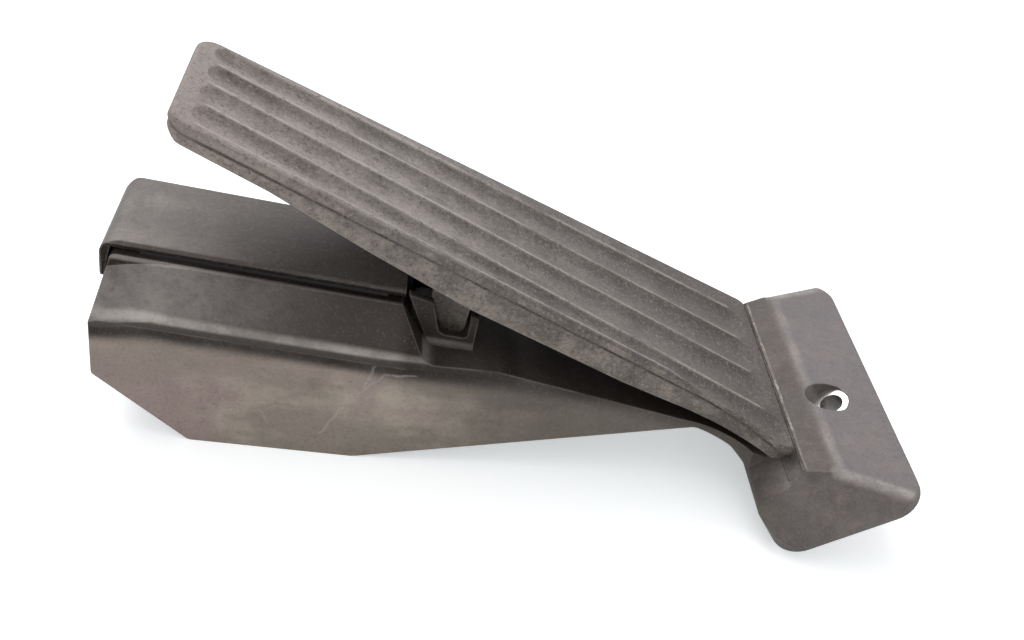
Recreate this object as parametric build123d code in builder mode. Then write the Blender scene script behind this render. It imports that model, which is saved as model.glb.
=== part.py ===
from build123d import *
import os
from math import asin, cos, hypot, radians, sin, tan

# Floor-mounted accelerator pedal module, drawn at rest in millimetres.
# +X runs from the connector end to the foot plate, +Z is up, +Y is the far side.
# The origin is the middle of the bounding box at the level the module stands on.

os.makedirs("parts", exist_ok=True)

# Hinge line and tread
hinge_x = 82.0
hinge_z = 25.0
tread_rise = 22.3
tread_travel = 7.2
tread_length = 192.0
tread_start = 0.5
tread_thickness = 3.0
tread_skirt_wall = 2.2
tread_end_half_width = 21.8
tread_far_half_width = 39.4
tread_near_half_width = 34.6
tread_waist_u = 38.0
tread_waist_half_width = 23.8
tread_corner_radius = 6.0
tread_heel_radius = 4.0
tread_lip = 2.6
tread_lip_inset = 0.7
skirt_depth = 11.2
groove_depth = 1.5
groove_margin = 9.0
groove_end_u = 13.0
groove_start_v = -16.7
groove_start_pitch = 10.5
groove_end_v = -21.5
groove_end_pitch = 15.8
groove_start_half_width = 4.5
groove_end_half_width = 7.6

# Push lug under the tread
lug_x = -21.0
lug_z = 39.0
lug_radius = 3.6
lug_half_width = 10.0

# Lower housing
wall = 2.5
housing_bottom_half_width = 27.0
housing_draft = 0.8
housing_corner_radius = 2.8
bead_out = 0.7
bead_height = 3.8
end_wall_low_z = 21.0
end_wall_high_z = 37.0
flat_start_x = -89.0
bend_x = -44.0
neck_x = 54.0
neck_z = 20.3
neck_half_width = 20.5
cavity_end_x = 10.0

# Deck and top cover
deck_end_x = -112.0
deck_end_z = 56.6
deck_fall = 3.0
deck_stop_x = -36.0
cover_half_width = 15.3
cover_thickness = 3.0
cover_edge = 1.0
cover_undercut = 1.1
cover_corner_radius = 3.0
cover_end_radius = 6.0
cover_wrap = 12.6
cover_end_wall = 3.2
cover_wrap_edge = 1.5
rim_drop = 4.0
rim_half_width = 16.5
rim_leaf_length = 26.0
rim_leaf_drop = 5.4
rim_leaf_inset = 0.3
rim_end_inset = 3.6
roof_thickening = 1.5
shoulder_drop = 14.2
slot_half_width = 12.5
slot_start_margin = 13.5
slot_stop_margin = 7.0

# Window for the push lug
window_margin = 3.0
window_length = 18.0
window_half_width = 14.8
cheek_wall = 2.2
cheek_sill = 4.0
ramp_run = 8.5
ramp_clearance = 6.4
ledge_x = -8.0
ledge_clearance = 1.7

# Foot plate
foot_x = 80.2
foot_rise = 38.8
foot_length = 44.0
foot_half_width = 50.3
foot_corner_radius = 9.0
foot_crest_radius = 3.5
foot_edge = 2.0
ridge_u = 25.0
ridge_h = 15.6
ridge_inset = 9.7
seam_u = 17.0
seam_h = 18.2
lip_h = 16.2
heel_h = 14.5
rail_width = 5.4
rail_depth = 6.0
rail_top_h = 16.2
rail_inset = 2.6
film_thickness = 0.5
rail_clearance = 0.08
bush_u = 30.3
bush_y = -9.0
bush_length = 8.6
bush_outer_radius = 5.2
bush_bore_radius = 3.4
bush_recess_radius = 5.9
bush_boss_radius = 9.0

# Lever and its axle
pivot_x = -78.0
pivot_z = 26.0
axle_radius = 3.0
running_gap = 0.05
press_gap = 0.02
hub_radius = 9.0
hub_near_y = -9.0
hub_far_y = 8.3
lever_half_width = 6.0
pad_gap = 0.35
pad_half_width = 10.2
hub_bush_radius = 4.6
hub_bush_length = 6.0
boss_radius = 6.5
boss_near_y = 15.0
axle_cover = 3.2

# Base cover and its screws
base_recess = 0.6
base_thickness = 3.0
base_gap = 0.25
screw_radius = 1.45
screw_head_radius = 2.8
screw_head_height = 1.7
screw_length = 11.0
screw_front_inset = 8.4
screw_back_u = 46.0
screw_back_inset = 6.5
post_radius = 3.4
post_gap = 0.8

# Return springs
spring_x = -54.0
spring_top_z = 19.0
outer_spring_radius = 7.2
inner_spring_radius = 4.4
outer_wire = 1.7
inner_wire = 1.2
outer_turns = 3.5
inner_turns = 4.5
coil_steps = 16
wire_sides = 6
seat_flange = 1.2
seat_post = 4.0

# Friction shoe on the lever's hub
shoe_behind = 8.0
shoe_ahead = 3.0
shoe_half_width = 5.0

# Sensor and connector
board_near_y = 11.0
board_thickness = 1.6
board_length = 38.0
board_height = 28.0
board_gap = 1.0
peg_inset = 4.5
peg_radius = 2.5
chip_size = 5.0
chip_inset = 7.0
chip_pitch = 9.0
chip_height = 1.4
rotor_thickness = 1.2
rotor_radius = 11.0
socket_half_width = 11.0
socket_low_z = 22.0
socket_high_z = 34.0
socket_depth = 13.5
socket_wall = 2.0
pin_pitch_y = 6.0
pin_pitch_z = 5.0
pin_width = 1.0
pin_thickness = 0.8
leg_inset = 1.5
leg_pitch = 2.0

# Stops for the lever
idle_x = -56.0
full_u = 14.0
stop_size = 8.0
full_height = 5.2

# Frames that follow the sloped parts
tread_sin = sin(radians(tread_rise))
tread_cos = cos(radians(tread_rise))
foot_sin = sin(radians(foot_rise))
foot_cos = cos(radians(foot_rise))
deck_tan = tan(radians(deck_fall))
housing_end_x = -foot_x - foot_length * foot_cos
housing_shoulder_half_width = housing_bottom_half_width - housing_draft
bead_half_width = housing_shoulder_half_width + bead_out
slot_start_x = housing_end_x + slot_start_margin
slot_stop_x = deck_stop_x - slot_stop_margin
window_start_x = deck_stop_x + window_margin
window_stop_x = window_start_x + window_length
slope_tan = neck_z / (neck_x - bend_x)
slope_run = hypot(1.0, slope_tan)
slope_cos = 1.0 / slope_run
slope_sin = slope_tan / slope_run
hinge_point = (hinge_x, 0, hinge_z)
tread_top = Plane(origin=hinge_point, x_dir=(-tread_cos, 0, tread_sin), z_dir=(tread_sin, 0, tread_cos))
tread_side = Plane(origin=hinge_point, x_dir=(-tread_cos, 0, tread_sin), z_dir=(0, 1, 0))
foot_point = (foot_x, 0, 0)
foot_base = Plane(origin=foot_point, x_dir=(foot_cos, 0, foot_sin), z_dir=(-foot_sin, 0, foot_cos))
foot_side = Plane(origin=foot_point, x_dir=(foot_cos, 0, foot_sin), z_dir=(0, -1, 0))
foot_cross = Plane(origin=foot_point, x_dir=(0, 1, 0), z_dir=(foot_cos, 0, foot_sin))
bend_point = (bend_x, 0, 0)
slope_base = Plane(origin=bend_point, x_dir=(slope_cos, 0, slope_sin), z_dir=(-slope_sin, 0, slope_cos))


def deck_z(x):
    """Height of the top cover's upper face."""
    return deck_end_z - deck_tan * (x - deck_end_x)


def bottom_z(x):
    """Height of the housing's lower edge."""
    return max(0.0, (x - bend_x) * slope_tan)


def tread_z(x, below=0.0):
    """Height of the tread at rest, a given thickness below its top."""
    return hinge_z + (hinge_x - x) * tread_sin / tread_cos - below / tread_cos


def pressed_z(x, below=0.0):
    """Height of the fully pressed tread, a given thickness below its top."""
    angle = radians(tread_rise - tread_travel)
    return hinge_z + (hinge_x - x) * tan(angle) - below / cos(angle)


def nearest(vertices, *points):
    """Sketch vertices closest to the given points."""
    found = []
    for px, py in points:
        found.append(min(vertices, key=lambda v: hypot(v.X - px, v.Y - py)))
    return found


# Lines the housing, its cavity and its covers share
ridge_half_width = foot_half_width - ridge_inset
rail_half_length = ridge_half_width - rail_inset
ramp_x = deck_stop_x + ramp_run
ramp_z = pressed_z(ramp_x, skirt_depth) - ramp_clearance
ledge_z = pressed_z(ledge_x, skirt_depth) - ledge_clearance
back_x = neck_x - 4.0
back_low_z = neck_z + 2.6
housing_profile = [
    (housing_end_x, end_wall_low_z),
    (flat_start_x, 0.0),
    (bend_x, 0.0),
    (neck_x, neck_z),
    (neck_x + 12.0, neck_z - 3.8),
    (foot_x - 3.2, 8.0),
    (foot_x - 0.8, 16.0),
    (neck_x + 16.0, neck_z - 1.6),
    (back_x, back_low_z),
    (ledge_x, ledge_z),
    (ramp_x, ramp_z),
    (deck_stop_x, deck_z(deck_stop_x) - rim_drop),
    (housing_end_x + rim_end_inset, deck_z(housing_end_x + rim_end_inset) - rim_drop),
    (housing_end_x, end_wall_high_z),
]


def back_z(x):
    """Height of the housing's top between the ramp and the neck."""
    if x < ledge_x:
        return ramp_z + (ledge_z - ramp_z) * (x - ramp_x) / (ledge_x - ramp_x)
    return ledge_z + (back_low_z - ledge_z) * (x - ledge_x) / (back_x - ledge_x)


cheek_top_x = deck_stop_x + 1.2
cheek_notch = [
    (window_start_x + 1.6, ramp_z + 26.0),
    (ramp_x + 2.6, ramp_z + cheek_sill),
    (window_stop_x - 2.2, ramp_z + cheek_sill - 0.6),
    (window_stop_x - 2.2, ramp_z + 26.0),
]


def roof_z(x, y):
    """Height of the sloped roof between the rim and the shoulder."""
    share = (y - rim_half_width) / (bead_half_width - rim_half_width)
    return deck_z(x) - rim_drop - share * (shoulder_drop - rim_drop)


roof_run = (cos(radians(deck_fall)), 0, -sin(radians(deck_fall)))
roof_start_x = housing_end_x - 10.0
roof_start = (roof_start_x, 0, deck_z(roof_start_x))
roof_across = Plane(origin=roof_start, x_dir=(0, 1, 0), z_dir=roof_run)
roof_foot = (housing_bottom_half_width + 0.5, -deck_end_z - 25.0)
roof_section = [
    roof_foot,
    (housing_shoulder_half_width, -shoulder_drop - bead_height),
    (bead_half_width, -shoulder_drop - bead_height + bead_out),
    (bead_half_width, -shoulder_drop),
    (rim_half_width, -rim_drop),
]
roof_section = roof_section + [(-y, h) for y, h in reversed(roof_section)]
inner_section = [
    roof_foot,
    (housing_shoulder_half_width, -shoulder_drop - roof_thickening),
    (rim_half_width - roof_thickening, -rim_drop),
]
inner_section = inner_section + [(-y, h) for y, h in reversed(inner_section)]
flare_mid = (neck_x + 13.0, neck_half_width + 2.8)
flare_end = (neck_x + 22.0, neck_half_width + 11.0)
socket_mid_z = (socket_low_z + socket_high_z) / 2
socket_end_x = housing_end_x + socket_depth + socket_wall
board_start_x = socket_end_x + board_gap
board_stop_x = board_start_x + board_length
screw_front_x = board_stop_x + post_radius + post_gap
screw_front_y = housing_bottom_half_width - screw_front_inset
screw_front_post = roof_z(screw_front_x, screw_front_y + post_radius) - wall / 2
screw_back_y = neck_half_width - screw_back_inset
screw_back_x = bend_x + screw_back_u * slope_cos
screw_back_post = (back_z(screw_back_x) - bottom_z(screw_back_x)) * slope_cos - wall / 2
screw_spots = [
    (Plane.XY, screw_front_x, screw_front_y, screw_front_post),
    (Plane.XY, screw_front_x, -screw_front_y, screw_front_post),
    (slope_base, screw_back_u, screw_back_y, screw_back_post),
    (slope_base, screw_back_u, -screw_back_y, screw_back_post),
]
board_mid_z = pivot_z + 2.0
board_back_y = board_near_y + board_thickness
peg_spots = [
    (board_start_x + peg_inset, board_mid_z + board_height / 2 - peg_inset),
    (board_stop_x - peg_inset, board_mid_z + board_height / 2 - peg_inset),
    (board_stop_x - peg_inset, board_mid_z - board_height / 2 + peg_inset),
]

# Outer form of the housing: side view, plan and roof section intersected
with BuildPart() as housing_form:
    with BuildSketch(Plane.XZ) as form_side:
        with BuildLine():
            Polyline(*housing_profile, close=True)
        make_face()
        fillet(nearest(form_side.vertices(), housing_profile[0], housing_profile[1]), 3.0)
        fillet(nearest(form_side.vertices(), housing_profile[12]), 2.0)
        fillet(nearest(form_side.vertices(), housing_profile[13]), 4.0)
        fillet(nearest(form_side.vertices(), housing_profile[10]), 6.0)
        fillet(nearest(form_side.vertices(), housing_profile[3], housing_profile[4]), 6.0)
    extrude(amount=40.0, both=True)
    with BuildSketch(Plane.XY.offset(-2.0)) as form_plan:
        with BuildLine():
            Polyline(
                (neck_x, -neck_half_width),
                (bend_x, -housing_bottom_half_width),
                (housing_end_x, -housing_bottom_half_width - 1.0),
                (housing_end_x, housing_bottom_half_width + 1.0),
                (bend_x, housing_bottom_half_width),
                (neck_x, neck_half_width),
            )
            ThreePointArc((neck_x, neck_half_width), flare_mid, flare_end)
            Line(flare_end, (flare_end[0] + 8.0, flare_end[1]))
            Line((flare_end[0] + 8.0, flare_end[1]), (flare_end[0] + 8.0, -flare_end[1]))
            Line((flare_end[0] + 8.0, -flare_end[1]), (flare_end[0], -flare_end[1]))
            ThreePointArc((flare_end[0], -flare_end[1]), (flare_mid[0], -flare_mid[1]), (neck_x, -neck_half_width))
        make_face()
        fillet(
            nearest(
                form_plan.vertices(),
                (housing_end_x, -housing_bottom_half_width - 1.0),
                (housing_end_x, housing_bottom_half_width + 1.0),
            ),
            housing_corner_radius,
        )
    extrude(amount=80.0, mode=Mode.INTERSECT)
    with BuildSketch(roof_across) as form_roof:
        with BuildLine():
            Polyline(*roof_section, close=True)
        make_face()
        fillet(nearest(form_roof.vertices(), roof_section[3], roof_section[6]), 3.6)
    extrude(amount=220.0, mode=Mode.INTERSECT)

# Space inside the housing, open underneath for the base cover
with BuildPart() as housing_cavity:
    with BuildSketch(Plane.XZ):
        with BuildLine():
            Polyline(
                *housing_profile[:3],
                (cavity_end_x + wall, bottom_z(cavity_end_x + wall)),
                (cavity_end_x + wall, back_z(cavity_end_x + wall)),
                *housing_profile[9:],
                close=True,
            )
        make_face()
        offset(amount=-wall, kind=Kind.INTERSECTION)
        with BuildLine():
            Polyline(
                (flat_start_x + wall, -6.0),
                (cavity_end_x, -6.0),
                (cavity_end_x, bottom_z(cavity_end_x) + wall + 1.0),
                (bend_x, wall + 1.0),
                (flat_start_x + wall, wall + 1.0),
                close=True,
            )
        make_face()
    extrude(amount=40.0, both=True)
    with BuildSketch(Plane.XY.offset(-8.0)):
        with BuildLine():
            Polyline(
                (neck_x, -neck_half_width),
                (bend_x, -housing_bottom_half_width),
                (housing_end_x, -housing_bottom_half_width - 1.0),
                (housing_end_x, housing_bottom_half_width + 1.0),
                (bend_x, housing_bottom_half_width),
                (neck_x, neck_half_width),
                close=True,
            )
        make_face()
        offset(amount=-wall, kind=Kind.INTERSECTION)
    extrude(amount=80.0, mode=Mode.INTERSECT)
    with BuildSketch(roof_across):
        with BuildLine():
            Polyline(*inner_section, close=True)
        make_face()
        offset(amount=-wall, kind=Kind.INTERSECTION)
    extrude(amount=220.0, mode=Mode.INTERSECT)


def is_foot_crest(edge):
    """Whether an edge of the foot plate is its ridge or runs down from the ridge to a corner."""
    spot = foot_base.to_local_coords(edge.center())
    return spot.X > ridge_u - 0.5 and spot.Z > foot_edge + 0.5


# Outer form of the foot plate
with BuildPart() as foot_form:
    with BuildSketch(foot_side) as foot_profile:
        with BuildLine():
            Polyline(
                (0.0, 0.0),
                (foot_length, 0.0),
                (foot_length, foot_edge),
                (ridge_u, ridge_h),
                (seam_u, seam_h),
                (seam_u - rail_width, lip_h),
                (0.0, heel_h),
                close=True,
            )
        make_face()
        fillet(nearest(foot_profile.vertices(), (0.0, heel_h)), 3.0)
    extrude(amount=foot_half_width, both=True)
    with BuildSketch(foot_cross) as foot_section:
        with BuildLine():
            Polyline(
                (-foot_half_width, 0.0),
                (foot_half_width, 0.0),
                (foot_half_width, foot_edge),
                (ridge_half_width, ridge_h),
                (ridge_half_width - 3.0, ridge_h + 4.0),
                (3.0 - ridge_half_width, ridge_h + 4.0),
                (-ridge_half_width, ridge_h),
                (-foot_half_width, foot_edge),
                close=True,
            )
        make_face()
    extrude(amount=foot_length, mode=Mode.INTERSECT)
    fillet(foot_form.edges().filter_by(is_foot_crest), foot_crest_radius)
    with BuildSketch(foot_base):
        with Locations((foot_length / 2, 0)):
            RectangleRounded(foot_length, 2 * foot_half_width, foot_corner_radius)
    extrude(amount=40.0, mode=Mode.INTERSECT)

# Hollow under the foot plate, left solid round the bush
with BuildPart() as foot_hollow:
    with BuildSketch(foot_side):
        with BuildLine():
            Polyline(
                (wall, -1.0),
                (foot_length - 4.0, -1.0),
                (foot_length - 4.0, 1.2),
                (ridge_u + 3.0, ridge_h - 5.0),
                (seam_u + 1.0, rail_top_h - rail_depth - wall),
                (wall, rail_top_h - rail_depth - wall),
                close=True,
            )
        make_face()
    extrude(amount=foot_half_width, both=True)
    with BuildSketch(foot_cross):
        with BuildLine():
            Polyline(
                (wall - foot_half_width, -1.0),
                (foot_half_width - wall, -1.0),
                (foot_half_width - wall - 1.0, foot_edge),
                (ridge_half_width - wall, ridge_h - wall),
                (wall - ridge_half_width, ridge_h - wall),
                (wall + 1.0 - foot_half_width, foot_edge),
                close=True,
            )
        make_face()
    extrude(amount=foot_length, mode=Mode.INTERSECT)
    with BuildSketch(foot_base.offset(-2.0)):
        with Locations((bush_u, bush_y)):
            Circle(bush_boss_radius)
    extrude(amount=30.0, mode=Mode.SUBTRACT)
    with BuildSketch(foot_base.offset(-2.0)):
        for rib_y in (-38.0, -27.0, 8.0, 22.0, 36.0):
            with Locations((foot_length / 2, rib_y)):
                Rectangle(foot_length + 10.0, 1.8)
    extrude(amount=30.0, mode=Mode.SUBTRACT)

# Lower housing with its neck and foot plate, one moulding
with BuildPart() as lower_housing:
    add(housing_form.part)
    add(housing_cavity.part, mode=Mode.SUBTRACT)
    add(foot_form.part)
    add(foot_hollow.part, mode=Mode.SUBTRACT)
    # slot that holds the hinge strip
    with BuildSketch(foot_side):
        with Locations((seam_u, rail_top_h - rail_depth)):
            Rectangle(rail_width + 0.1, 20.0, align=(Align.MAX, Align.MIN))
    extrude(amount=rail_half_length + 0.15, both=True, mode=Mode.SUBTRACT)
    # bush seat and the wider recess above it
    with BuildSketch(foot_base.offset(-1.0)):
        with Locations((bush_u, bush_y)):
            Circle(bush_outer_radius + press_gap)
    extrude(amount=30.0, mode=Mode.SUBTRACT)
    with BuildSketch(foot_base.offset(bush_length)):
        with Locations((bush_u, bush_y)):
            Circle(bush_recess_radius)
    extrude(amount=20.0, mode=Mode.SUBTRACT)
    # cheeks beside the window, their tops just under the pressed tread
    for cheek_plane in (
        Plane.XZ.offset(window_half_width + cheek_wall),
        Plane.XZ.offset(-window_half_width),
    ):
        with BuildSketch(cheek_plane) as cheek:
            with BuildLine():
                Polyline(
                    (cheek_top_x, pressed_z(cheek_top_x, tread_thickness) - 0.8),
                    (ramp_x + 0.6, ramp_z - 1.0),
                    (window_stop_x, back_z(window_stop_x) - 1.5),
                    (window_stop_x, pressed_z(window_stop_x, tread_thickness) - 0.8),
                    close=True,
                )
            make_face()
            with BuildLine():
                Polyline(*cheek_notch, close=True)
            make_face(mode=Mode.SUBTRACT)
            fillet(nearest(cheek.vertices(), cheek_notch[1]), 2.5)
            fillet(nearest(cheek.vertices(), cheek_notch[2]), 1.2)
        extrude(amount=-cheek_wall)
    # window for the push lug
    with BuildSketch(Plane.XY.offset(ramp_z - 12.0)):
        with Locations(((window_start_x + window_stop_x) / 2, 0)):
            Rectangle(window_length, 2 * window_half_width)
    extrude(amount=40.0, mode=Mode.SUBTRACT)
    # roof falling away at the connector end, which leaves the rim standing
    for side in (-1, 1):
        leaf_y = rim_half_width - rim_leaf_inset
        leaf_x = housing_end_x + rim_leaf_length
        leaf_start = (leaf_x, roof_z(leaf_x, leaf_y))
        leaf_end = (housing_end_x, roof_z(housing_end_x, leaf_y) - rim_leaf_drop)
        with BuildSketch(Plane.XZ.offset(-side * leaf_y)):
            with BuildLine():
                TangentArc(
                    leaf_start,
                    leaf_end,
                    tangent=(-roof_run[0], -roof_run[2]),
                )
                Polyline(
                    leaf_end,
                    (housing_end_x - 3.0, leaf_end[1] - 0.9),
                    (housing_end_x - 3.0, deck_z(housing_end_x) + 4.0),
                    (leaf_x, deck_z(leaf_x) + 4.0),
                    leaf_start,
                )
            make_face()
        extrude(
            amount=20.0,
            dir=(0, side * (bead_half_width - rim_half_width), rim_drop - shoulder_drop),
            mode=Mode.SUBTRACT,
        )
    # opening under the top cover
    with BuildSketch(Plane.XY.offset(ramp_z + 1.0)):
        with Locations(((slot_start_x + slot_stop_x) / 2, 0)):
            Rectangle(slot_stop_x - slot_start_x, 2 * slot_half_width)
    extrude(amount=40.0, mode=Mode.SUBTRACT)
    # bosses for the lever axle
    with BuildSketch(Plane.XZ.offset(boss_near_y)):
        with Locations((pivot_x, pivot_z)):
            Circle(boss_radius)
    extrude(amount=housing_shoulder_half_width - boss_near_y - 0.8)
    with BuildSketch(Plane.XZ.offset(-board_back_y - 1.9)):
        with Locations((pivot_x, pivot_z)):
            Circle(boss_radius)
    extrude(amount=-(housing_shoulder_half_width - board_back_y - 2.7))
    # posts for the base screws
    for plane, spot_u, spot_y, post_height in screw_spots:
        with BuildSketch(plane.offset(base_recess + base_thickness)):
            with Locations((spot_u, spot_y)):
                Circle(post_radius)
        extrude(amount=post_height - base_recess - base_thickness)
    # pegs for the sensor board
    with BuildSketch(Plane.XZ.offset(-board_back_y)):
        with Locations(*peg_spots):
            Circle(peg_radius)
    extrude(amount=-(housing_shoulder_half_width - board_back_y - 0.8))
    # connector socket in the end wall
    with BuildSketch(Plane.YZ.offset(housing_end_x + 1.0)):
        with Locations((0, socket_mid_z)):
            Rectangle(2 * (socket_half_width + socket_wall), socket_high_z - socket_low_z + 2 * socket_wall)
    extrude(amount=socket_end_x - housing_end_x - 1.0)
    with BuildSketch(Plane.YZ.offset(housing_end_x - 1.0)):
        with Locations((0, socket_mid_z)):
            RectangleRounded(2 * socket_half_width, socket_high_z - socket_low_z, 2.0)
    extrude(amount=socket_depth + 1.0, mode=Mode.SUBTRACT)
    with BuildSketch(Plane.YZ.offset(housing_end_x)):
        with GridLocations(pin_pitch_y, pin_pitch_z, 3, 2):
            with Locations((0, socket_mid_z)):
                Rectangle(pin_width + 2 * press_gap, pin_thickness + 2 * press_gap)
    extrude(amount=socket_depth + 6.0, mode=Mode.SUBTRACT)
    # axle bore, open on the far side
    with BuildSketch(Plane.XZ.offset(housing_shoulder_half_width - axle_cover)):
        with Locations((pivot_x, pivot_z)):
            Circle(axle_radius + press_gap)
    extrude(amount=-2 * housing_bottom_half_width, mode=Mode.SUBTRACT)
    # pilot holes for the base screws
    for plane, spot_u, spot_y, _ in screw_spots:
        with BuildSketch(plane):
            with Locations((spot_u, spot_y)):
                Circle(screw_radius + press_gap)
        extrude(amount=screw_length + 4.0, mode=Mode.SUBTRACT)
    # coring under the neck
    with BuildSketch(Plane.XZ.offset(1.2)):
        with BuildLine():
            Polyline(
                (cavity_end_x + wall, -4.0),
                (neck_x - 8.0, -4.0),
                (neck_x - 8.0, neck_z - 1.2),
                (cavity_end_x + wall, neck_z + 5.0),
                close=True,
            )
        make_face()
    extrude(amount=16.0, mode=Mode.SUBTRACT)
    with BuildSketch(Plane.XZ.offset(-1.2)):
        with BuildLine():
            Polyline(
                (cavity_end_x + wall, -4.0),
                (neck_x - 8.0, -4.0),
                (neck_x - 8.0, neck_z - 1.2),
                (cavity_end_x + wall, neck_z + 5.0),
                close=True,
            )
        make_face()
    extrude(amount=-16.0, mode=Mode.SUBTRACT)
lower_housing.part.label = "lower_housing"
export_step(lower_housing.part, "parts/lower_housing.step")

# Top cover with a wrapped end and a locating rim
cover_under_end = deck_z(housing_end_x + cover_end_wall) - cover_thickness
with BuildPart() as top_cover:
    with BuildSketch(Plane.XZ) as cover_side:
        with BuildLine():
            Polyline(
                (housing_end_x, deck_z(housing_end_x) - cover_wrap),
                (housing_end_x + cover_wrap_edge, deck_z(housing_end_x) - cover_wrap),
                (housing_end_x + cover_end_wall, cover_under_end),
                (deck_stop_x + 0.6, deck_z(deck_stop_x + 0.6) - cover_thickness),
                (deck_stop_x + 0.6, deck_z(deck_stop_x + 0.6)),
                (housing_end_x + 0.6, deck_z(housing_end_x + 0.6)),
                close=True,
            )
        make_face()
        cover_nose = (housing_end_x + 0.6, deck_z(housing_end_x + 0.6))
        fillet(nearest(cover_side.vertices(), cover_nose), cover_end_radius)
    extrude(amount=cover_half_width, both=True)
    with BuildSketch(Plane.XY.offset(30.0)) as cover_plan:
        with Locations(((housing_end_x + deck_stop_x + 0.6) / 2, 0)):
            Rectangle(deck_stop_x + 0.6 - housing_end_x, 2 * cover_half_width)
        fillet(cover_plan.vertices().group_by(Axis.X)[0], cover_corner_radius)
    extrude(amount=40.0, mode=Mode.INTERSECT)
    with BuildSketch(roof_across) as cover_section:
        with BuildLine():
            Polyline(
                (cover_half_width, 0.0),
                (cover_half_width, -cover_edge),
                (cover_half_width - cover_undercut, -cover_thickness),
                (cover_half_width - cover_undercut, -deck_end_z),
                (cover_undercut - cover_half_width, -deck_end_z),
                (cover_undercut - cover_half_width, -cover_thickness),
                (-cover_half_width, -cover_edge),
                (-cover_half_width, 0.0),
                close=True,
            )
        make_face()
        fillet(cover_section.vertices().group_by(Axis.Y)[-1], 0.8)
    extrude(amount=120.0, mode=Mode.INTERSECT)
    with BuildSketch(Plane.XY.offset(deck_z(slot_stop_x) - cover_thickness - 4.0)):
        with Locations(((slot_start_x + slot_stop_x) / 2, 0)):
            Rectangle(slot_stop_x - slot_start_x - 0.6, 2 * slot_half_width - 0.6)
            Rectangle(slot_stop_x - slot_start_x - 3.8, 2 * slot_half_width - 3.8, mode=Mode.SUBTRACT)
    extrude(amount=5.0)
top_cover.part.label = "top_cover"
export_step(top_cover.part, "parts/top_cover.step")

# Base cover, bent to follow the underside
with BuildPart() as base_cover:
    with BuildSketch(Plane.XZ):
        with BuildLine():
            Polyline(
                (flat_start_x + wall + base_gap, base_recess),
                (bend_x - base_recess * slope_sin, base_recess),
                (cavity_end_x - base_gap, bottom_z(cavity_end_x - base_gap) + base_recess * slope_run),
                (
                    cavity_end_x - base_gap,
                    bottom_z(cavity_end_x - base_gap) + (base_recess + base_thickness) * slope_run,
                ),
                (bend_x - (base_recess + base_thickness) * slope_sin / 2, base_recess + base_thickness),
                (flat_start_x + wall + base_gap, base_recess + base_thickness),
                close=True,
            )
        make_face()
    extrude(amount=housing_bottom_half_width - wall - 0.7, both=True)
    with BuildSketch(Plane.XY.offset(-4.0)):
        with BuildLine():
            Polyline(
                (neck_x, -neck_half_width),
                (bend_x, -housing_bottom_half_width),
                (housing_end_x, -housing_bottom_half_width),
                (housing_end_x, housing_bottom_half_width),
                (bend_x, housing_bottom_half_width),
                (neck_x, neck_half_width),
                close=True,
            )
        make_face()
        offset(amount=-wall - base_gap, kind=Kind.INTERSECTION)
    extrude(amount=40.0, mode=Mode.INTERSECT)
    for plane, spot_u, spot_y, _ in screw_spots:
        with BuildSketch(plane.offset(base_recess - 1.0)):
            with Locations((spot_u, spot_y)):
                Circle(screw_head_radius + 0.2)
        extrude(amount=screw_head_height + 1.0, mode=Mode.SUBTRACT)
        with BuildSketch(plane):
            with Locations((spot_u, spot_y)):
                Circle(screw_radius + 0.15)
        extrude(amount=8.0, mode=Mode.SUBTRACT)
base_cover.part.label = "base_cover"
export_step(base_cover.part, "parts/base_cover.step")

# Screws that hold the base cover
with BuildPart() as base_screws:
    for plane, spot_u, spot_y, _ in screw_spots:
        with BuildSketch(plane.offset(base_recess)):
            with Locations((spot_u, spot_y)):
                Circle(screw_head_radius)
        extrude(amount=screw_head_height)
        with BuildSketch(plane.offset(base_recess)):
            with Locations((spot_u, spot_y)):
                Circle(screw_radius)
        extrude(amount=screw_length)
        with BuildSketch(plane.offset(base_recess)):
            with Locations((spot_u, spot_y)):
                RegularPolygon(1.2, 6)
        extrude(amount=1.0, mode=Mode.SUBTRACT)
base_screws.part.label = "base_screws"
export_step(base_screws.part, "parts/base_screws.step")

# Steel bush for the mounting bolt
with BuildPart() as mounting_bush:
    with BuildSketch(foot_base):
        with Locations((bush_u, bush_y)):
            Circle(bush_outer_radius)
            Circle(bush_bore_radius, mode=Mode.SUBTRACT)
    extrude(amount=bush_length)
mounting_bush.part.label = "mounting_bush"
export_step(mounting_bush.part, "parts/mounting_bush.step")

# Hinge strip: a rail in the foot plate with a film up to the hinge line
with BuildPart() as hinge_strip:
    with BuildSketch(foot_side):
        with BuildLine():
            Polyline(
                (seam_u - rail_width, rail_top_h - rail_depth + 0.02),
                (seam_u - rail_clearance, rail_top_h - rail_depth + 0.02),
                (seam_u - rail_clearance, seam_h - 0.3),
                (seam_u - rail_clearance - film_thickness, seam_h - 0.3),
                (seam_u - rail_clearance - film_thickness - 0.3, rail_top_h),
                (seam_u - rail_width, rail_top_h),
                close=True,
            )
        make_face()
    extrude(amount=rail_half_length, both=True)
hinge_strip.part.label = "hinge_strip"
export_step(hinge_strip.part, "parts/hinge_strip.step")

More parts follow.
